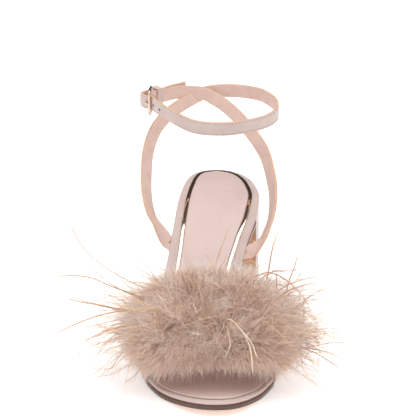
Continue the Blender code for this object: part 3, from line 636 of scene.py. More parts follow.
def makeCore():    # dense down close to the strap, under the loose barbs
    rings = []
    for i in range(61):
        along = 0.004 + 0.992 * i / 60
        ring = []
        for k in range(56):
            point = bodyPoint(k / 56, along, trim["coreShare"])
            rough = noise.noise(point * 260) * 1.6 + noise.noise(point * 700) * 0.8
            bare = k / 56 > 0.75
            ring.append(point + (0 if bare else rough * mm) * archNormal(yStation(point.y), math.pi * along))
        rings.append(ring)
    shape = bmesh.new()
    tubeFaces(shape, rings)
    piece = fromShape("marabou_core", shape, [coreDown], ["feather_trim"], 180)
    return piece


def newTree(name, inputs):
    tree = bpy.data.node_groups.new(name, "GeometryNodeTree")
    tree.interface.new_socket("Geometry", in_out="INPUT", socket_type="NodeSocketGeometry")
    for label, kind, value in inputs:
        socket = tree.interface.new_socket(label, in_out="INPUT", socket_type="NodeSocket" + kind)
        if value is not None:
            socket.default_value = value
    tree.interface.new_socket("Geometry", in_out="OUTPUT", socket_type="NodeSocketGeometry")
    return tree, tree.nodes.new("NodeGroupInput").outputs, tree.nodes.new("NodeGroupOutput").inputs


def grow(name, base, tree, values):    # runs a node tree on a mesh and keeps a plain mesh
    carrier = bpy.data.objects.new(name + "_carrier", base)
    bpy.context.scene.collection.objects.link(carrier)
    modifier = carrier.modifiers.new("grow", "NODES")
    modifier.node_group = tree
    for item in tree.interface.items_tree:
        if item.in_out == "INPUT" and item.name in values:    # set by the socket's identifier
            modifier[item.identifier] = values[item.name]
    graph = bpy.context.evaluated_depsgraph_get()
    mesh = bpy.data.meshes.new_from_object(carrier.evaluated_get(graph), preserve_all_data_layers=True,
                                           depsgraph=graph)
    mesh.name = name
    carrier.modifiers.remove(modifier)
    bpy.data.objects.remove(carrier)
    return mesh


def randomValue(tree, kind, low, high, seed, offset):
    first = {"FLOAT_VECTOR": 0, "FLOAT": 2}[kind]
    shifted = addNode(tree, "ShaderNodeMath", {"operation": "ADD", 1: float(offset)}, {0: seed})
    chance = addNode(tree, "FunctionNodeRandomValue", {"data_type": kind}, {8: shifted.outputs[0]})
    for place, value in ((first, low), (first + 1, high)):
        if isinstance(value, bpy.types.NodeSocket):
            tree.links.new(value, chance.inputs[place])
        else:
            chance.inputs[place].default_value = value
    return chance.outputs[0 if kind == "FLOAT_VECTOR" else 1]


def barbKind(name, count, rings, radius, bends):    # bent, tapered barbs, a metre long
    kinds = bpy.data.collections.new(name)
    bpy.context.scene.collection.children.link(kinds)
    for k in range(count):
        bend = bends[0] + (bends[1] - bends[0]) * k / max(count - 1, 1)
        shape = bmesh.new()
        layer = shape.verts.layers.float.new("along")
        loops = []
        for i in range(rings):
            z = i / rings
            wide = radius * (1 - 0.5 * z)
            loop = []
            for a in range(3):
                angle = 2 * math.pi * a / 3 + k
                vertex = shape.verts.new((bend * z * z + wide * math.cos(angle), wide * math.sin(angle),
                                          z - abs(bend) * z ** 3 * 0.4))
                vertex[layer] = z
                loop.append(vertex)
            loops.append(loop)
        tip = shape.verts.new((bend, 0, 1 - abs(bend) * 0.4))
        tip[layer] = 1.0
        shape.faces.new(loops[0][::-1])
        for low, high in zip(loops, loops[1:]):
            for a in range(3):
                shape.faces.new((low[a - 1], low[a], high[a], high[a - 1]))
        for a in range(3):
            shape.faces.new((loops[-1][a - 1], loops[-1][a], tip))
        mesh = bpy.data.meshes.new(f"{name}_{k}")
        shape.to_mesh(mesh)
        shape.free()
        kinds.objects.link(bpy.data.objects.new(f"{name}_{k}", mesh))
    return kinds


def scatterTree():    # barbs standing on a surface, combed along its flow
    tree, given, result = newTree("barbs_on_surface", [
        ("Density", "Float", 1e6), ("Seed", "Int", 1), ("Barbs", "Collection", None),
        ("Shortest", "Float", 0.01), ("Longest", "Float", 0.018), ("Clump Size", "Float", 0.012),
        ("Clumping", "Float", 0.9), ("Loose", "Float", 0.35), ("Stand", "Float", 0.8),
        ("Material", "Material", None)])
    points = addNode(tree, "GeometryNodeDistributePointsOnFaces", {}, {
        "Mesh": given["Geometry"], "Density": given["Density"], "Seed": given["Seed"]})
    flow = addNode(tree, "GeometryNodeInputNamedAttribute", {"data_type": "FLOAT_VECTOR", "Name": "flow"})
    reach = addNode(tree, "GeometryNodeInputNamedAttribute", {"data_type": "FLOAT", "Name": "reach"})
    where = addNode(tree, "GeometryNodeInputPosition").outputs[0]
    pitch = addNode(tree, "ShaderNodeMath", {"operation": "DIVIDE", 0: 1.0}, {1: given["Clump Size"]})
    cloud = addNode(tree, "ShaderNodeTexNoise", {"Detail": 2.0}, {"Vector": where, "Scale": pitch.outputs[0]})
    centred = addNode(tree, "ShaderNodeVectorMath", {"operation": "SUBTRACT", 1: (0.5, 0.5, 0.5)},
                      {0: cloud.outputs["Color"]})
    clump = addNode(tree, "ShaderNodeVectorMath", {"operation": "SCALE"},
                    {0: centred.outputs[0], "Scale": given["Clumping"]})
    stand = addNode(tree, "ShaderNodeVectorMath", {"operation": "SCALE"},
                    {0: points.outputs["Normal"], "Scale": given["Stand"]})
    loose = addNode(tree, "ShaderNodeVectorMath", {"operation": "SCALE"}, {
        0: randomValue(tree, "FLOAT_VECTOR", (-1, -1, -1), (1, 1, 1), given["Seed"], 1),
        "Scale": given["Loose"]})
    way = stand.outputs[0]
    for part in (flow.outputs[0], clump.outputs[0], loose.outputs[0]):
        way = addNode(tree, "ShaderNodeVectorMath", {"operation": "ADD"}, {0: way, 1: part}).outputs[0]
    aimed = addNode(tree, "FunctionNodeAlignRotationToVector", {"axis": "Z"}, {"Vector": way})
    spin = addNode(tree, "ShaderNodeCombineXYZ", {},
                   {"Z": randomValue(tree, "FLOAT", 0.0, 6.283, given["Seed"], 2)})
    turned = addNode(tree, "FunctionNodeRotateRotation", {"rotation_space": "LOCAL"},
                     {0: aimed.outputs[0], 1: spin.outputs[0]})
    size = addNode(tree, "ShaderNodeMath", {"operation": "MULTIPLY"}, {
        0: randomValue(tree, "FLOAT", given["Shortest"], given["Longest"], given["Seed"], 3),
        1: reach.outputs[0]})
    kinds = addNode(tree, "GeometryNodeCollectionInfo", {"Separate Children": True},
                    {"Collection": given["Barbs"]})
    barbs = addNode(tree, "GeometryNodeInstanceOnPoints", {"Pick Instance": True}, {
        "Points": points.outputs["Points"], "Instance": kinds.outputs[0],
        "Rotation": turned.outputs[0], "Scale": size.outputs[0]})
    shade = addNode(tree, "ShaderNodeTexNoise", {"Scale": 130.0, "Detail": 1.0}, {"Vector": where})
    mixed = addNode(tree, "ShaderNodeMath", {"operation": "ADD"}, {
        0: shade.outputs["Fac"], 1: randomValue(tree, "FLOAT", -0.35, 0.35, given["Seed"], 4)})
    named = addNode(tree, "GeometryNodeStoreNamedAttribute", {"data_type": "FLOAT", "domain": "INSTANCE",
                    "Name": "tint"}, {"Geometry": barbs.outputs[0], "Value": mixed.outputs[0]})
    return endTree(tree, named.outputs[0], given, result)


def strandTree():    # shafts along paths, with barbs along each shaft
    tree, given, result = newTree("barbs_on_shafts", [
        ("Step", "Float", 0.0006), ("Seed", "Int", 1), ("Barbs", "Collection", None),
        ("Barb Length", "Float", 0.01), ("Lean", "Float", 0.9), ("Lean Spread", "Float", 0.25),
        ("Side Spread", "Float", 0.5), ("Shaft", "Float", 0.0002), ("Bare Start", "Float", 0.1),
        ("Material", "Material", None)])
    curves = addNode(tree, "GeometryNodeMeshToCurve", {}, {"Mesh": given["Geometry"]})
    even = addNode(tree, "GeometryNodeResampleCurve", {"mode": "LENGTH"},
                   {"Curve": curves.outputs[0], "Length": given["Step"]})
    share = addNode(tree, "GeometryNodeSplineParameter").outputs["Factor"]
    marked = addNode(tree, "GeometryNodeStoreNamedAttribute", {"data_type": "FLOAT", "domain": "POINT",
                     "Name": "run"}, {"Geometry": even.outputs[0], "Value": share})
    points = addNode(tree, "GeometryNodeCurveToPoints", {"mode": "EVALUATED"}, {"Curve": marked.outputs[0]})
    run = addNode(tree, "GeometryNodeInputNamedAttribute", {"data_type": "FLOAT", "Name": "run"})
    big = addNode(tree, "GeometryNodeInputNamedAttribute", {"data_type": "FLOAT", "Name": "size"})
    number = addNode(tree, "GeometryNodeInputIndex").outputs[0]
    parity = addNode(tree, "ShaderNodeMath", {"operation": "MODULO", 1: 2.0}, {0: number})
    half = addNode(tree, "ShaderNodeMath", {"operation": "MULTIPLY", 1: math.pi}, {0: parity.outputs[0]})
    wide = addNode(tree, "ShaderNodeMath", {"operation": "MULTIPLY", 1: -1.0}, {0: given["Side Spread"]})
    side = addNode(tree, "ShaderNodeMath", {"operation": "ADD"}, {
        0: half.outputs[0],
        1: randomValue(tree, "FLOAT", wide.outputs[0], given["Side Spread"], given["Seed"], 1)})
    less = addNode(tree, "ShaderNodeMath", {"operation": "SUBTRACT"},
                   {0: given["Lean"], 1: given["Lean Spread"]})
    more = addNode(tree, "ShaderNodeMath", {"operation": "ADD"}, {0: given["Lean"], 1: given["Lean Spread"]})
    lean = randomValue(tree, "FLOAT", less.outputs[0], more.outputs[0], given["Seed"], 2)
    swing = addNode(tree, "ShaderNodeCombineXYZ", {}, {"Y": lean, "Z": side.outputs[0]})
    turned = addNode(tree, "FunctionNodeRotateRotation", {"rotation_space": "LOCAL"},
                     {0: points.outputs["Rotation"], 1: swing.outputs[0]})
    bare = addNode(tree, "ShaderNodeMath", {"operation": "ADD", 1: 0.12}, {0: given["Bare Start"]})
    opened = addNode(tree, "ShaderNodeMapRange", {"interpolation_type": "SMOOTHSTEP"},
                     {"Value": run.outputs[0], "From Min": given["Bare Start"], "From Max": bare.outputs[0]})
    closed = addNode(tree, "ShaderNodeMapRange", {"From Min": 0.5, "To Min": 1.0, "To Max": 0.35},
                     {"Value": run.outputs[0]})
    size = opened.outputs["Result"]
    for part in (closed.outputs["Result"], big.outputs[0], given["Barb Length"],
                 randomValue(tree, "FLOAT", 0.6, 1.15, given["Seed"], 3)):
        size = addNode(tree, "ShaderNodeMath", {"operation": "MULTIPLY"}, {0: size, 1: part}).outputs[0]
    kinds = addNode(tree, "GeometryNodeCollectionInfo", {"Separate Children": True},
                    {"Collection": given["Barbs"]})
    shown = addNode(tree, "FunctionNodeCompare", {"data_type": "FLOAT", "operation": "GREATER_THAN",
                    1: 0.0002}, {0: size})
    barbs = addNode(tree, "GeometryNodeInstanceOnPoints", {"Pick Instance": True}, {
        "Points": points.outputs["Points"], "Selection": shown.outputs[0], "Instance": kinds.outputs[0],
        "Rotation": turned.outputs[0], "Scale": size})
    taper = addNode(tree, "ShaderNodeMapRange", {"To Min": 1.0, "To Max": 0.4}, {"Value": run.outputs[0]})
    thick = taper.outputs["Result"]
    for part in (given["Shaft"], big.outputs[0]):
        thick = addNode(tree, "ShaderNodeMath", {"operation": "MULTIPLY"}, {0: thick, 1: part}).outputs[0]
    coarse = addNode(tree, "GeometryNodeResampleCurve", {"mode": "COUNT", "Count": 14},
                     {"Curve": marked.outputs[0]})
    ring = addNode(tree, "GeometryNodeCurvePrimitiveCircle", {"Resolution": 3, "Radius": 1.0})
    shafts = addNode(tree, "GeometryNodeCurveToMesh", {"Fill Caps": True}, {
        "Curve": coarse.outputs[0], "Profile Curve": ring.outputs[0], "Scale": thick})
    pale = addNode(tree, "GeometryNodeStoreNamedAttribute", {"data_type": "FLOAT", "domain": "POINT",
                   "Name": "along"}, {"Geometry": shafts.outputs[0], "Value": run.outputs[0]})
    both = addNode(tree, "GeometryNodeJoinGeometry")
    tree.links.new(pale.outputs[0], both.inputs[0])
    tree.links.new(barbs.outputs[0], both.inputs[0])
    return endTree(tree, both.outputs[0], given, result)


def endTree(tree, geometry, given, result):
    real = addNode(tree, "GeometryNodeRealizeInstances", {}, {"Geometry": geometry})
    dressed = addNode(tree, "GeometryNodeSetMaterial", {},
                      {"Geometry": real.outputs[0], "Material": given["Material"]})
    tree.links.new(dressed.outputs[0], result["Geometry"])
    return tree


def curveMesh(name, points, thickness, cyclic, matrix):
    curve = bpy.data.curves.new(name, "CURVE")
    curve.dimensions = "3D"
    curve.bevel_depth = thickness / 2
    curve.bevel_resolution = 5
    curve.use_fill_caps = True
    spline = curve.splines.new("POLY")
    spline.points.add(len(points) - 1)
    for target, point in zip(spline.points, points):
        target.co = (*point, 1)
    spline.use_cyclic_u = cyclic
    thing = bpy.data.objects.new(name, curve)
    bpy.context.scene.collection.objects.link(thing)
    graph = bpy.context.evaluated_depsgraph_get()
    mesh = bpy.data.meshes.new_from_object(thing.evaluated_get(graph))
    bpy.data.objects.remove(thing)
    mesh.transform(matrix)
    return mesh


def arc(middle, radius, start, end, count):
    angles = [start + (end - start) * i / count for i in range(count + 1)]
    return [Vector((middle[0] + radius * math.cos(a), middle[1] + radius * math.sin(a), 0))
            for a in angles]


# Buckle, as in the solids: mm
buckle = {
    "frontBar": (-0.872, 0.505, 1.036), "height": 16.5, "length": 13, "wire": 2.1, "corner": 2.5,
    "prong": 1.6, "turn": 5,
}


def makeBuckle():
    front = strapPlace(*buckle["frontBar"])
    angle = math.radians(buckle["turn"])
    back = Vector((math.sin(angle), math.cos(angle), 0))
    place = Matrix((back, upright, back.cross(upright))).transposed().to_4x4()
    place.translation = front
    corner, long, quarter = buckle["corner"] * mm, buckle["length"] * mm, math.pi / 2
    low, high, tall = corner, long - corner, buckle["height"] * mm / 2 - corner
    corners = ((high, tall, 0), (low, tall, 1), (low, -tall, 2), (high, -tall, 3))
    outline = [p for x, y, k in corners for p in arc((x, y), corner, k * quarter, (k + 1) * quarter, 8)]
    mesh = curveMesh("buckle_frame", outline, buckle["wire"] * mm, True, place)
    keepPiece("buckle_frame", mesh, [paleGold], ["buckle_frame"], 60)
    around = (buckle["wire"] + buckle["prong"]) / 2 * mm + gap
    flat = Matrix((back, upright.cross(back), upright)).transposed().to_4x4()
    flat.translation = front
    ring = arc((long, 0), around, -quarter * 2.4, quarter, 18)
    points = [*ring, Vector((-buckle["prong"] * mm, around, 0))]
    mesh = curveMesh("buckle_prong", points, buckle["prong"] * mm, False, flat)
    keepPiece("buckle_prong", mesh, [paleGold], ["buckle_prong"], 60)


# Seams: needle holes and thread along the edges of the straps, and the punched holes, mm
seams = {"pitch": 2.3, "hole": 0.5, "thread": (0.75, 0.17), "punched": 0.85,
         "punchedAt": (-36.6, -32.5), "frontEnd": -22.3}


def seamTree():    # one small mesh every pitch along each line, standing on the strap's face
    tree, given, result = newTree("seam_row", [
        ("Pitch", "Float", 0.0023), ("Stitch", "Object", None), ("Material", "Material", None)])
    curves = addNode(tree, "GeometryNodeMeshToCurve", {}, {"Mesh": given["Geometry"]})
    even = addNode(tree, "GeometryNodeResampleCurve", {"mode": "LENGTH"},
                   {"Curve": curves.outputs[0], "Length": given["Pitch"]})
    tangent = addNode(tree, "GeometryNodeInputTangent").outputs[0]
    facing = addNode(tree, "GeometryNodeInputNamedAttribute", {"data_type": "FLOAT_VECTOR", "Name": "facing"})
    standing = addNode(tree, "FunctionNodeAlignRotationToVector", {"axis": "Z"},
                       {"Vector": facing.outputs[0]})
    turned = addNode(tree, "FunctionNodeAlignRotationToVector", {"axis": "X", "pivot_axis": "Z"},
                     {"Rotation": standing.outputs[0], "Vector": tangent})
    stitch = addNode(tree, "GeometryNodeObjectInfo", {}, {"Object": given["Stitch"]})
    rows = addNode(tree, "GeometryNodeInstanceOnPoints", {}, {
        "Points": even.outputs[0], "Instance": stitch.outputs["Geometry"], "Rotation": turned.outputs[0]})
    return endTree(tree, rows.outputs[0], given, result)


def pebble(name, size):    # low rounded blob
    shape = bmesh.new()
    bmesh.ops.create_icosphere(shape, subdivisions=1, radius=1)
    bmesh.ops.transform(shape, matrix=Matrix.Diagonal((*size, 1)), verts=shape.verts)
    mesh = bpy.data.meshes.new(name)
    shape.to_mesh(mesh)
    shape.free()
    thing = bpy.data.objects.new(name, mesh)
    bpy.context.scene.collection.objects.link(thing)
    return thing


def onFace(section, aside, sunk):
    middle, across, inward = section[:3]
    half = straps["thickness"] / 2
    return middle + mm * (aside * across - (half - sunk) * inward)


def faceLines(name, lines):    # lines of sections with their place across, and how deep they lie
    places, edges, facings = [], [], []
    for sections, aside, sunk in lines:
        first = len(places)
        places += [onFace(section, aside, sunk) for section in sections]
        facings += [c for section in sections for c in -section[2]]
        edges += [(first + i, first + i + 1) for i in range(len(sections) - 1)]
    mesh = bpy.data.meshes.new(name)
    mesh.from_pydata(places, edges, [])
    mesh.attributes.new("facing", "FLOAT_VECTOR", "POINT").data.foreach_set("vector", facings)
    return mesh


def makeSeams(outer, inner):
    tree = seamTree()
    crossing = min(range(len(outer)), key=lambda i: (outer[i][0] - strapPlace(0.05, 1.0, 1.0)).length)
    front = [i for i, s in enumerate(outer) if i > crossing and s[0].y < 0.137]
    stop = next(i for i in front if outer[i][0].x < seams["frontEnd"] * mm)
    runs = [outer[16:crossing - 22], outer[crossing + 24:stop]]
    meet = min(range(len(inner)), key=lambda i: (inner[i][0] - strapPlace(0, 0.97, 0.98)).length)
    runs.append(inner[16:meet - 22])
    aside = straps["width"] / 2 - straps["seam"]
    lines = [(run, side * aside, straps["groove"] - 0.02) for run in runs for side in (-1, 1)]
    # Needle holes are dark blobs on the strap's face: painted shade for the holes
    hole = pebble("hole_shape", (seams["hole"] * mm, seams["hole"] * mm, 0.12 * mm))
    thread = pebble("thread_shape", (seams["thread"][0] * mm, seams["thread"][1] * mm,
                                     seams["thread"][1] * mm))
    mesh = grow("needle_holes", faceLines("hole_lines", lines), tree, {
        "Pitch": seams["pitch"] * mm, "Stitch": hole, "Material": paintedHoleShade})
    keepPiece("needle_holes", mesh, [])
    shifted = [(run[1:], side, sunk) for run, side, sunk in lines]
    mesh = grow("seam_thread", faceLines("thread_lines", shifted), tree, {
        "Pitch": seams["pitch"] * mm, "Stitch": thread, "Material": seamThread})
    keepPiece("seam_thread", mesh, [])
    # Punched holes are dark blobs on the strap's face: painted shade for the holes
    punch = pebble("punch_shape", (seams["punched"] * mm, seams["punched"] * mm, 0.15 * mm))
    spots = []
    for x in seams["punchedAt"]:
        k = next(i for i in front if outer[i][0].x < x * mm)
        spots.append((outer[k:k + 2], 0, -straps["crown"]))
    mesh = grow("punched_holes", faceLines("punch_lines", spots), tree, {
        "Pitch": 5 * mm, "Stitch": punch, "Material": paintedHoleShade})
    keepPiece("punched_holes", mesh, [])
    for thing in (hole, thread, punch):
        bpy.data.objects.remove(thing)


down = {
    "rows": 48, "columns": 30, "seed": 21, "counts": 12500, "lengths": (8, 22), "radius": 0.0072,
    "bends": (0.1, 0.6), "clumpSize": 15, "clumping": 3.0, "loose": 0.5, "stand": 0.6,
}
plumes = {
    "seed": 5, "stations": (0.645, 0.69, 0.735, 0.785), "columns": 21, "lengths": (24, 48),
    "droop": 1.0, "curl": 0.4, "barb": 9.0, "step": 0.33, "shaft": 0.2, "lean": 0.62,
}
curls = {
    "seed": 9, "count": 190, "lengths": (26, 46), "droop": 0.8, "curl": 1.25, "barb": 1.9,
    "step": 0.34, "shaft": 0.2, "lean": 1.1,
}
strands = {
    "seed": 14, "count": 230, "lengths": (30, 58), "droop": 0.6, "curl": 0.25, "shaft": 0.3,
    "reach": (-90, 93),    # no strand grows further out than this
    # Long loose strands, each from its root to its tip, mm
    "wisps": (
        ((-20, 17, 57), (-29.8, 18, 59), (-49.1, 19.2, 66.3), (-61.9, 20.4, 73.4), (-72.2, 21.6, 80.5),
         (-81.2, 22.8, 89.6), (-88.9, 24, 104.3)),
        ((-40, 15, 55), (-55.5, 17, 61.7), (-65.8, 18, 68.1), (-73.5, 19, 74.6), (-80.5, 20, 79)),
        ((-42, 14, 58), (-55.5, 14.4, 63.4), (-64.5, 14.8, 66.7), (-76, 15.2, 72.1), (-87.6, 15.6, 73.7),
         (-98, 16, 72.8)),
        ((-40, 10, 50), (-59.3, 9.5, 52.3), (-73.5, 9, 55.7), (-83.7, 8.5, 59), (-91.7, 8, 63.3)),
        ((-40, 10, 49), (-59.3, 9, 52.8), (-68.3, 8, 55.7), (-81.2, 7, 58.2), (-90.8, 6, 61.4)),
        ((-40, 6, 52), (-55.5, 4.8, 53.2), (-65.8, 3.6, 52), (-76, 2.4, 49.1), (-87.6, 1.2, 44.7),
         (-97.6, 0, 39.7)),
        ((-42, 3, 46), (-63.2, 0.7, 42.2), (-72.2, -0.7, 38.6), (-80.5, -2, 35.7)),
        ((-38, -4, 32), (-43.9, -8, 19.6), (-48.4, -10, 13.5), (-54.2, -12, 10.2)),
        ((36, 29, 58), (38.9, 31, 68.3), (40.2, 32, 77.5), (42.7, 33, 89.5), (47.2, 34, 100.2)),
        ((44, 23, 45), (49.2, 25, 54.2), (52.4, 26, 64.8), (56.2, 27, 75.5), (57.5, 28, 81.9)),
        ((28, 26, 62), (40.8, 26, 71.7), (48.5, 26, 72.4), (57.5, 26, 73.8)),
        ((35, 18, 53), (45.9, 17, 62.8), (52.4, 16, 67.6), (61.4, 15, 71.5), (69.7, 14, 73.7)),
        ((35, 16, 51), (46.6, 15, 59.7), (54.9, 14, 64.6), (63.9, 13, 68.1), (71.6, 12, 69.5)),
        ((48, 15, 44), (62.6, 12.7, 57.9), (69.1, 11.3, 63.3), (74.2, 10, 66.6)),
        ((24, 24, 66), (37, 22, 72.7), (47.2, 19, 70.5), (56.2, 16, 63.5), (61.4, 13, 57.8),
         (65.2, 10, 51.4)),
        ((43.6, 22, 45), (43.8, 20.7, 56), (44, 19.3, 63.5), (44, 18, 75)),
        ((47, 13, 28), (55.6, 9.3, 41.4), (60.1, 6.7, 50.8), (66.5, 4, 53.9)),
        ((46, 8, 26), (56.2, 4, 27), (63.9, 2, 28.5), (72.9, 0, 31.4), (80.6, -2, 33.9), (89, -4, 34.2)),
        ((46, 8, 27), (57.5, 3, 28.1), (66.5, 0, 28.7), (75.5, -3, 27.8), (84.5, -6, 26)),
        ((46, 8, 26), (58.1, 2.5, 27.6), (66.5, -1, 27), (75.5, -4.5, 22.9), (84.5, -8, 18.2)),
        ((12.6, 2, 62.1), (21.6, 2, 62.3), (30.5, 2, 62.5), (38.9, 2, 62.6)),
        ((2.3, 36, 60), (2.5, 42, 63.6), (3.8, 48.5, 67.2), (6.8, 57, 72.7), (9.4, 65.5, 76.1),
         (12.8, 74, 83.3)),
        ((2, 36, 60), (2.6, 46.7, 64.3), (5.9, 53.3, 70.1), (8.5, 60, 75.6)),
        ((3.8, 34, 58), (3.3, 42.7, 66.2), (0.4, 47.3, 69.1), (-2.2, 52, 73.4)),
    ),
    # Blunt quill ends at the front
    "quills": (
        ((6, 2, 50), (14.5, -14, 54.8), (21.6, -20, 49.4), (26.7, -25, 44.5), (30, -29, 36.8)),
        ((14, -2, 47), (20.3, -18, 49.9), (24.8, -24, 44.1), (26.7, -30, 37), (27.3, -35, 28.2)),
        ((9, 0, 48), (11.9, -16, 49.1), (12.8, -21, 45.6), (13.2, -25, 41.8), (10.3, -28, 36.4)),
    ),
}


def combed(side, front):    # way the feathers are combed: side and front run from -1 to 1
    fall = 0.1 + 0.5 * max(front, 0) * (1 - 0.6 * abs(side)) - 0.45 * max(-front, 0)
    return Vector((1.1 * side, -0.55 * front, -fall))


def emitter(name, start, end):    # outer faces of the core, with the flow of the barbs
    shape = bmesh.new()
    flow = shape.verts.layers.float_vector.new("flow")
    reach = shape.verts.layers.float.new("reach")
    grid = []
    for i in range(down["rows"] + 1):
        along = start + (end - start) * i / down["rows"]
        angle = math.pi * (trim["start"] + (1 - 2 * trim["start"]) * along)
        line = []
        for k in range(down["columns"] + 1):
            around = 0.74 * k / down["columns"]
            vertex = shape.verts.new(bodyPoint(around, along, trim["coreShare"]))
            side, front = -math.cos(angle), min(2.0 * k / down["columns"] - 1, 1)
            vertex[flow] = combed(side, front)
            ending = 0.35 + 0.65 * ease(min(along, 1 - along), 0.0, 0.22)
            vertex[reach] = ending * (0.85 + 0.45 * abs(side)) * (1 - 0.2 * ease(-front, 0.4, 1))
            line.append(vertex)
        grid.append(line)
    for a, b in zip(grid, grid[1:]):
        for k in range(1, len(a)):
            shape.faces.new((a[k - 1], a[k], b[k], b[k - 1]))
    shape.normal_update()
    crest = max(shape.faces, key=lambda face: face.calc_center_median().z)
    if crest.normal.z < 0:
        bmesh.ops.reverse_faces(shape, faces=shape.faces)
    area = sum(face.calc_area() for face in shape.faces)
    mesh = bpy.data.meshes.new(name)
    shape.to_mesh(mesh)
    shape.free()
    return mesh, area


def featherPiece(name, mesh):
    for layer in [a.name for a in mesh.attributes if a.name in ("flow", "reach", "run", "size")]:
        mesh.attributes.remove(mesh.attributes[layer])
    mesh.shade_smooth()
    piece = bpy.data.objects.new(name, mesh)
    bpy.context.scene.collection.objects.link(piece)
    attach(piece, "root")
    print(name, "has", sum(len(p.vertices) - 2 for p in mesh.polygons), "triangles")
    return piece


def strandPath(start, heading, run, droop, curl, rng, steps=10):
    points, heading = [start], heading.normalized()
    offset = Vector([rng.uniform(-50, 50) for _ in range(3)])
    for i in range(steps):
        swirl = noise.noise_vector(points[-1] * 75 + offset) * curl
        heading = (heading + swirl - droop / steps * upright).normalized()
        after = points[-1] + heading * run / steps
        lowest = 0.0145 if after.y < 0.005 or abs(after.x) < 0.045 else 0.010
        if after.z < lowest:
            after.z = lowest + 0.2 * (points[-1].z - lowest)
        if not strands["reach"][0] * mm < after.x < strands["reach"][1] * mm:
            break
        points.append(after)
    return points


def pathMesh(name, paths):    # paths as (points, tint, size)
    places, edges, tints, sizes = [], [], [], []
    for points, tint, size in paths:
        first = len(places)
        places += [tuple(p) for p in points]
        edges += [(first + i, first + i + 1) for i in range(len(points) - 1)]
        tints += [tint] * len(points)
        sizes += [size] * len(points)
    mesh = bpy.data.meshes.new(name)
    mesh.from_pydata(places, edges, [])
    for label, values in (("tint", tints), ("size", sizes)):
        mesh.attributes.new(label, "FLOAT", "POINT").data.foreach_set("value", values)
    return mesh


def rootOnVamp(t, angle):
    side = -math.cos(angle)
    front = 2 * (t - trim["back"]) / (trim["front"] - trim["back"]) - 1
    return overVamp(t, angle, 1.5 * mm), archNormal(t, angle), side, front


def plumePaths(look, half):
    rng = random.Random(look["seed"] + half)
    paths = []
    for t in look["stations"]:
        for k in range(look["columns"]):
            place = (half + (k + rng.uniform(0.1, 0.9)) / look["columns"]) / 2
            angle = math.pi * (0.1 + 0.8 * place)
            start, normal, side, front = rootOnVamp(t + rng.uniform(-0.02, 0.02), angle)
            loose = Vector([rng.uniform(-0.45, 0.45) for _ in range(3)])
            heading = 0.8 * normal + 1.2 * combed(side, front * 1.6) + loose
            run = rng.uniform(*look["lengths"]) * mm * (0.85 + 0.45 * abs(side))
            points = strandPath(start, heading, run, look["droop"] * rng.uniform(0.5, 1.4), look["curl"], rng)
            paths.append((points, rng.uniform(0.0, 1.0), rng.uniform(0.7, 1.2)))
    return paths


def loosePaths(look, lowAngle, highAngle, lift):
    rng = random.Random(look["seed"])
    paths = []
    for _ in range(look["count"]):
        angle = rng.uniform(lowAngle, highAngle)
        start, normal, side, front = rootOnVamp(rng.uniform(0.64, 0.80), angle)
        start += normal * lift * mm * rng.uniform(0.5, 1.5)
        loose = Vector([rng.uniform(-0.6, 0.6) for _ in range(3)])
        heading = 0.55 * normal + 1.1 * combed(side, front * 1.3) + loose
        run = rng.uniform(*look["lengths"]) * mm * (0.8 + 0.4 * abs(side))
        points = strandPath(start, heading, run, look["droop"], look["curl"], rng, 16)
        paths.append((points, rng.uniform(0.0, 1.0), rng.uniform(0.7, 1.2)))
    return paths


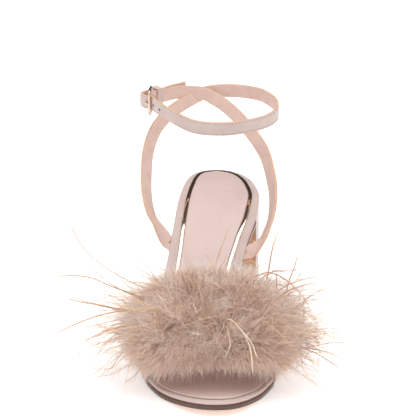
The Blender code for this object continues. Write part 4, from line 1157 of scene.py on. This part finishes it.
def makeFeathers():
    makeCore()
    scatter, shafts = scatterTree(), strandTree()
    fine = barbKind("down_barb", 5, 2, down["radius"], down["bends"])
    barbule = barbKind("barbule", 3, 1, 0.05, (0.1, 0.4))
    for k, part in enumerate(("lateral", "medial")):
        base, area = emitter("down_base_" + part, 0.01 + 0.49 * k, 0.5 + 0.49 * k)
        featherPiece("marabou_down_" + part, grow("marabou_down_" + part, base, scatter, {
            "Density": down["counts"] / area, "Seed": down["seed"] + k, "Barbs": fine,
            "Shortest": down["lengths"][0] * mm, "Longest": down["lengths"][1] * mm,
            "Clump Size": down["clumpSize"] * mm, "Clumping": down["clumping"], "Loose": down["loose"],
            "Stand": down["stand"], "Material": marabouDown}))
    for k, part in enumerate(("lateral", "medial")):
        base = pathMesh("plume_shafts_" + part, plumePaths(plumes, k))
        featherPiece("marabou_plumes_" + part, grow("marabou_plumes_" + part, base, shafts, {
            "Step": plumes["step"] * mm, "Seed": plumes["seed"] + k, "Barbs": fine,
            "Barb Length": plumes["barb"] * mm, "Lean": plumes["lean"], "Shaft": plumes["shaft"] * mm,
            "Material": marabouDown}))
    base = pathMesh("curl_shafts", loosePaths(curls, math.pi * 0.38, math.pi * 0.86, 13))
    featherPiece("curled_strands", grow("curled_strands", base, shafts, {
        "Step": curls["step"] * mm, "Seed": curls["seed"], "Barbs": barbule, "Side Spread": 3.14,
        "Barb Length": curls["barb"] * mm, "Lean": curls["lean"], "Shaft": curls["shaft"] * mm,
        "Bare Start": 0.0, "Material": curlFeather}))
    rng = random.Random(strands["seed"])
    paths = loosePaths(strands, 0.14 * math.pi, 0.86 * math.pi, 9)
    for row in strands["wisps"]:
        for twin in range(2):
            shift = Vector([rng.uniform(-1.0, 1.0) * twin * mm for _ in range(3)])
            points = through([Vector(p) * mm for p in row], 4 * mm)
            points = [p + shift * (i / len(points)) for i, p in enumerate(points)]
            paths.append((points, rng.uniform(0.0, 0.35), 1.55))
    base = pathMesh("strand_shafts", paths)
    featherPiece("ostrich_strands", grow("ostrich_strands", base, shafts, {
        "Step": 1.3 * mm, "Seed": strands["seed"], "Barbs": barbule, "Barb Length": 1.1 * mm,
        "Side Spread": 3.14, "Lean": 0.6, "Shaft": strands["shaft"] * mm, "Bare Start": 0.0,
        "Material": ostrichStrand}))
    base = pathMesh("quill_shafts", [(through([Vector(p) * mm for p in row], 2 * mm), 0.4, 1.0)
                                     for row in strands["quills"]])
    featherPiece("quill_ends", grow("quill_ends", base, shafts, {
        "Step": 1.0 * mm, "Seed": 3, "Barbs": barbule, "Barb Length": 1.0 * mm, "Side Spread": 3.14,
        "Lean": 0.7, "Shaft": 0.7 * mm, "Bare Start": 0.8, "Material": quillHorn}))
    for kinds in (fine, barbule):
        for thing in list(kinds.objects):
            bpy.data.objects.remove(thing)
        bpy.data.collections.remove(kinds)


# Floor, lights and world

stage = {
    "floor": 3, "glow": 0.4, "world": 0.56, "top": 9, "side": 2.6,
    "card": ((-1.3, 1.6, 0.25), (1.3, 1.6, 0.25), (1.3, 0.27, 1.25), (-1.3, 0.27, 1.25)),
}


def whiteFloor():
    shape = bmesh.new()
    bmesh.ops.create_grid(shape, x_segments=1, y_segments=1, size=stage["floor"])
    mesh = bpy.data.meshes.new("floor")
    shape.to_mesh(mesh)
    shape.free()
    floor = bpy.data.objects.new("floor", mesh)
    material, tree, shader = newMaterial("white_sweep", {
        "Base Color": toLinear("FFFFFF"), "Roughness": 0.9, "Emission Color": toLinear("FFFFFF"),
        "Emission Strength": stage["glow"]})
    mesh.materials.append(material)
    bpy.context.scene.collection.objects.link(floor)


def darkCard():    # seen only by reflections: the strip mirrors it at the heel
    mesh = bpy.data.meshes.new("dark_card")
    mesh.from_pydata(stage["card"], [], [(0, 1, 2, 3)])
    card = bpy.data.objects.new("dark_card", mesh)
    material, tree, shader = newMaterial("black_board", {
        "Base Color": toLinear("3A302B"), "Roughness": 0.9})
    mesh.materials.append(material)
    card.visible_camera = card.visible_diffuse = card.visible_shadow = False
    bpy.context.scene.collection.objects.link(card)


def addLight(name, place, aim, size, power):
    light = bpy.data.lights.new(name, "AREA")
    light.shape = "RECTANGLE"
    light.size, light.size_y = size
    light.energy = power
    thing = bpy.data.objects.new(name, light)
    thing.location = place
    thing.rotation_euler = (Vector(aim) - Vector(place)).to_track_quat("-Z", "Y").to_euler()
    bpy.context.scene.collection.objects.link(thing)


def lightStage():
    world = bpy.data.worlds.new("studio")
    world.use_nodes = True
    world.node_tree.nodes["Background"].inputs["Color"].default_value = toLinear("FFFFFF")
    world.node_tree.nodes["Background"].inputs["Strength"].default_value = stage["world"]
    bpy.context.scene.world = world
    addLight("top_softbox", (0.1, 0.0, 1.3), (0, 0.06, 0.05), (1.2, 1.0), stage["top"])
    addLight("left_softbox", (-1.1, -0.5, 0.8), (0, 0.05, 0.07), (0.7, 1.0), stage["side"])
    addLight("right_softbox", (1.1, -0.4, 0.7), (0, 0.05, 0.07), (0.7, 1.0), stage["side"] * 0.7)
    whiteFloor()
    darkCard()
    bpy.context.scene.view_settings.view_transform = "Standard"


addCamera()
lightStage()
print("camera and lights set")
wrapSole()
print("sole, heel and vamp strap finished")
strapPaths = makeStraps()
makeBuckle()
makeSeams(*strapPaths)
print("straps, buckle and seams finished")
makeFeathers()
print("feathers grown")
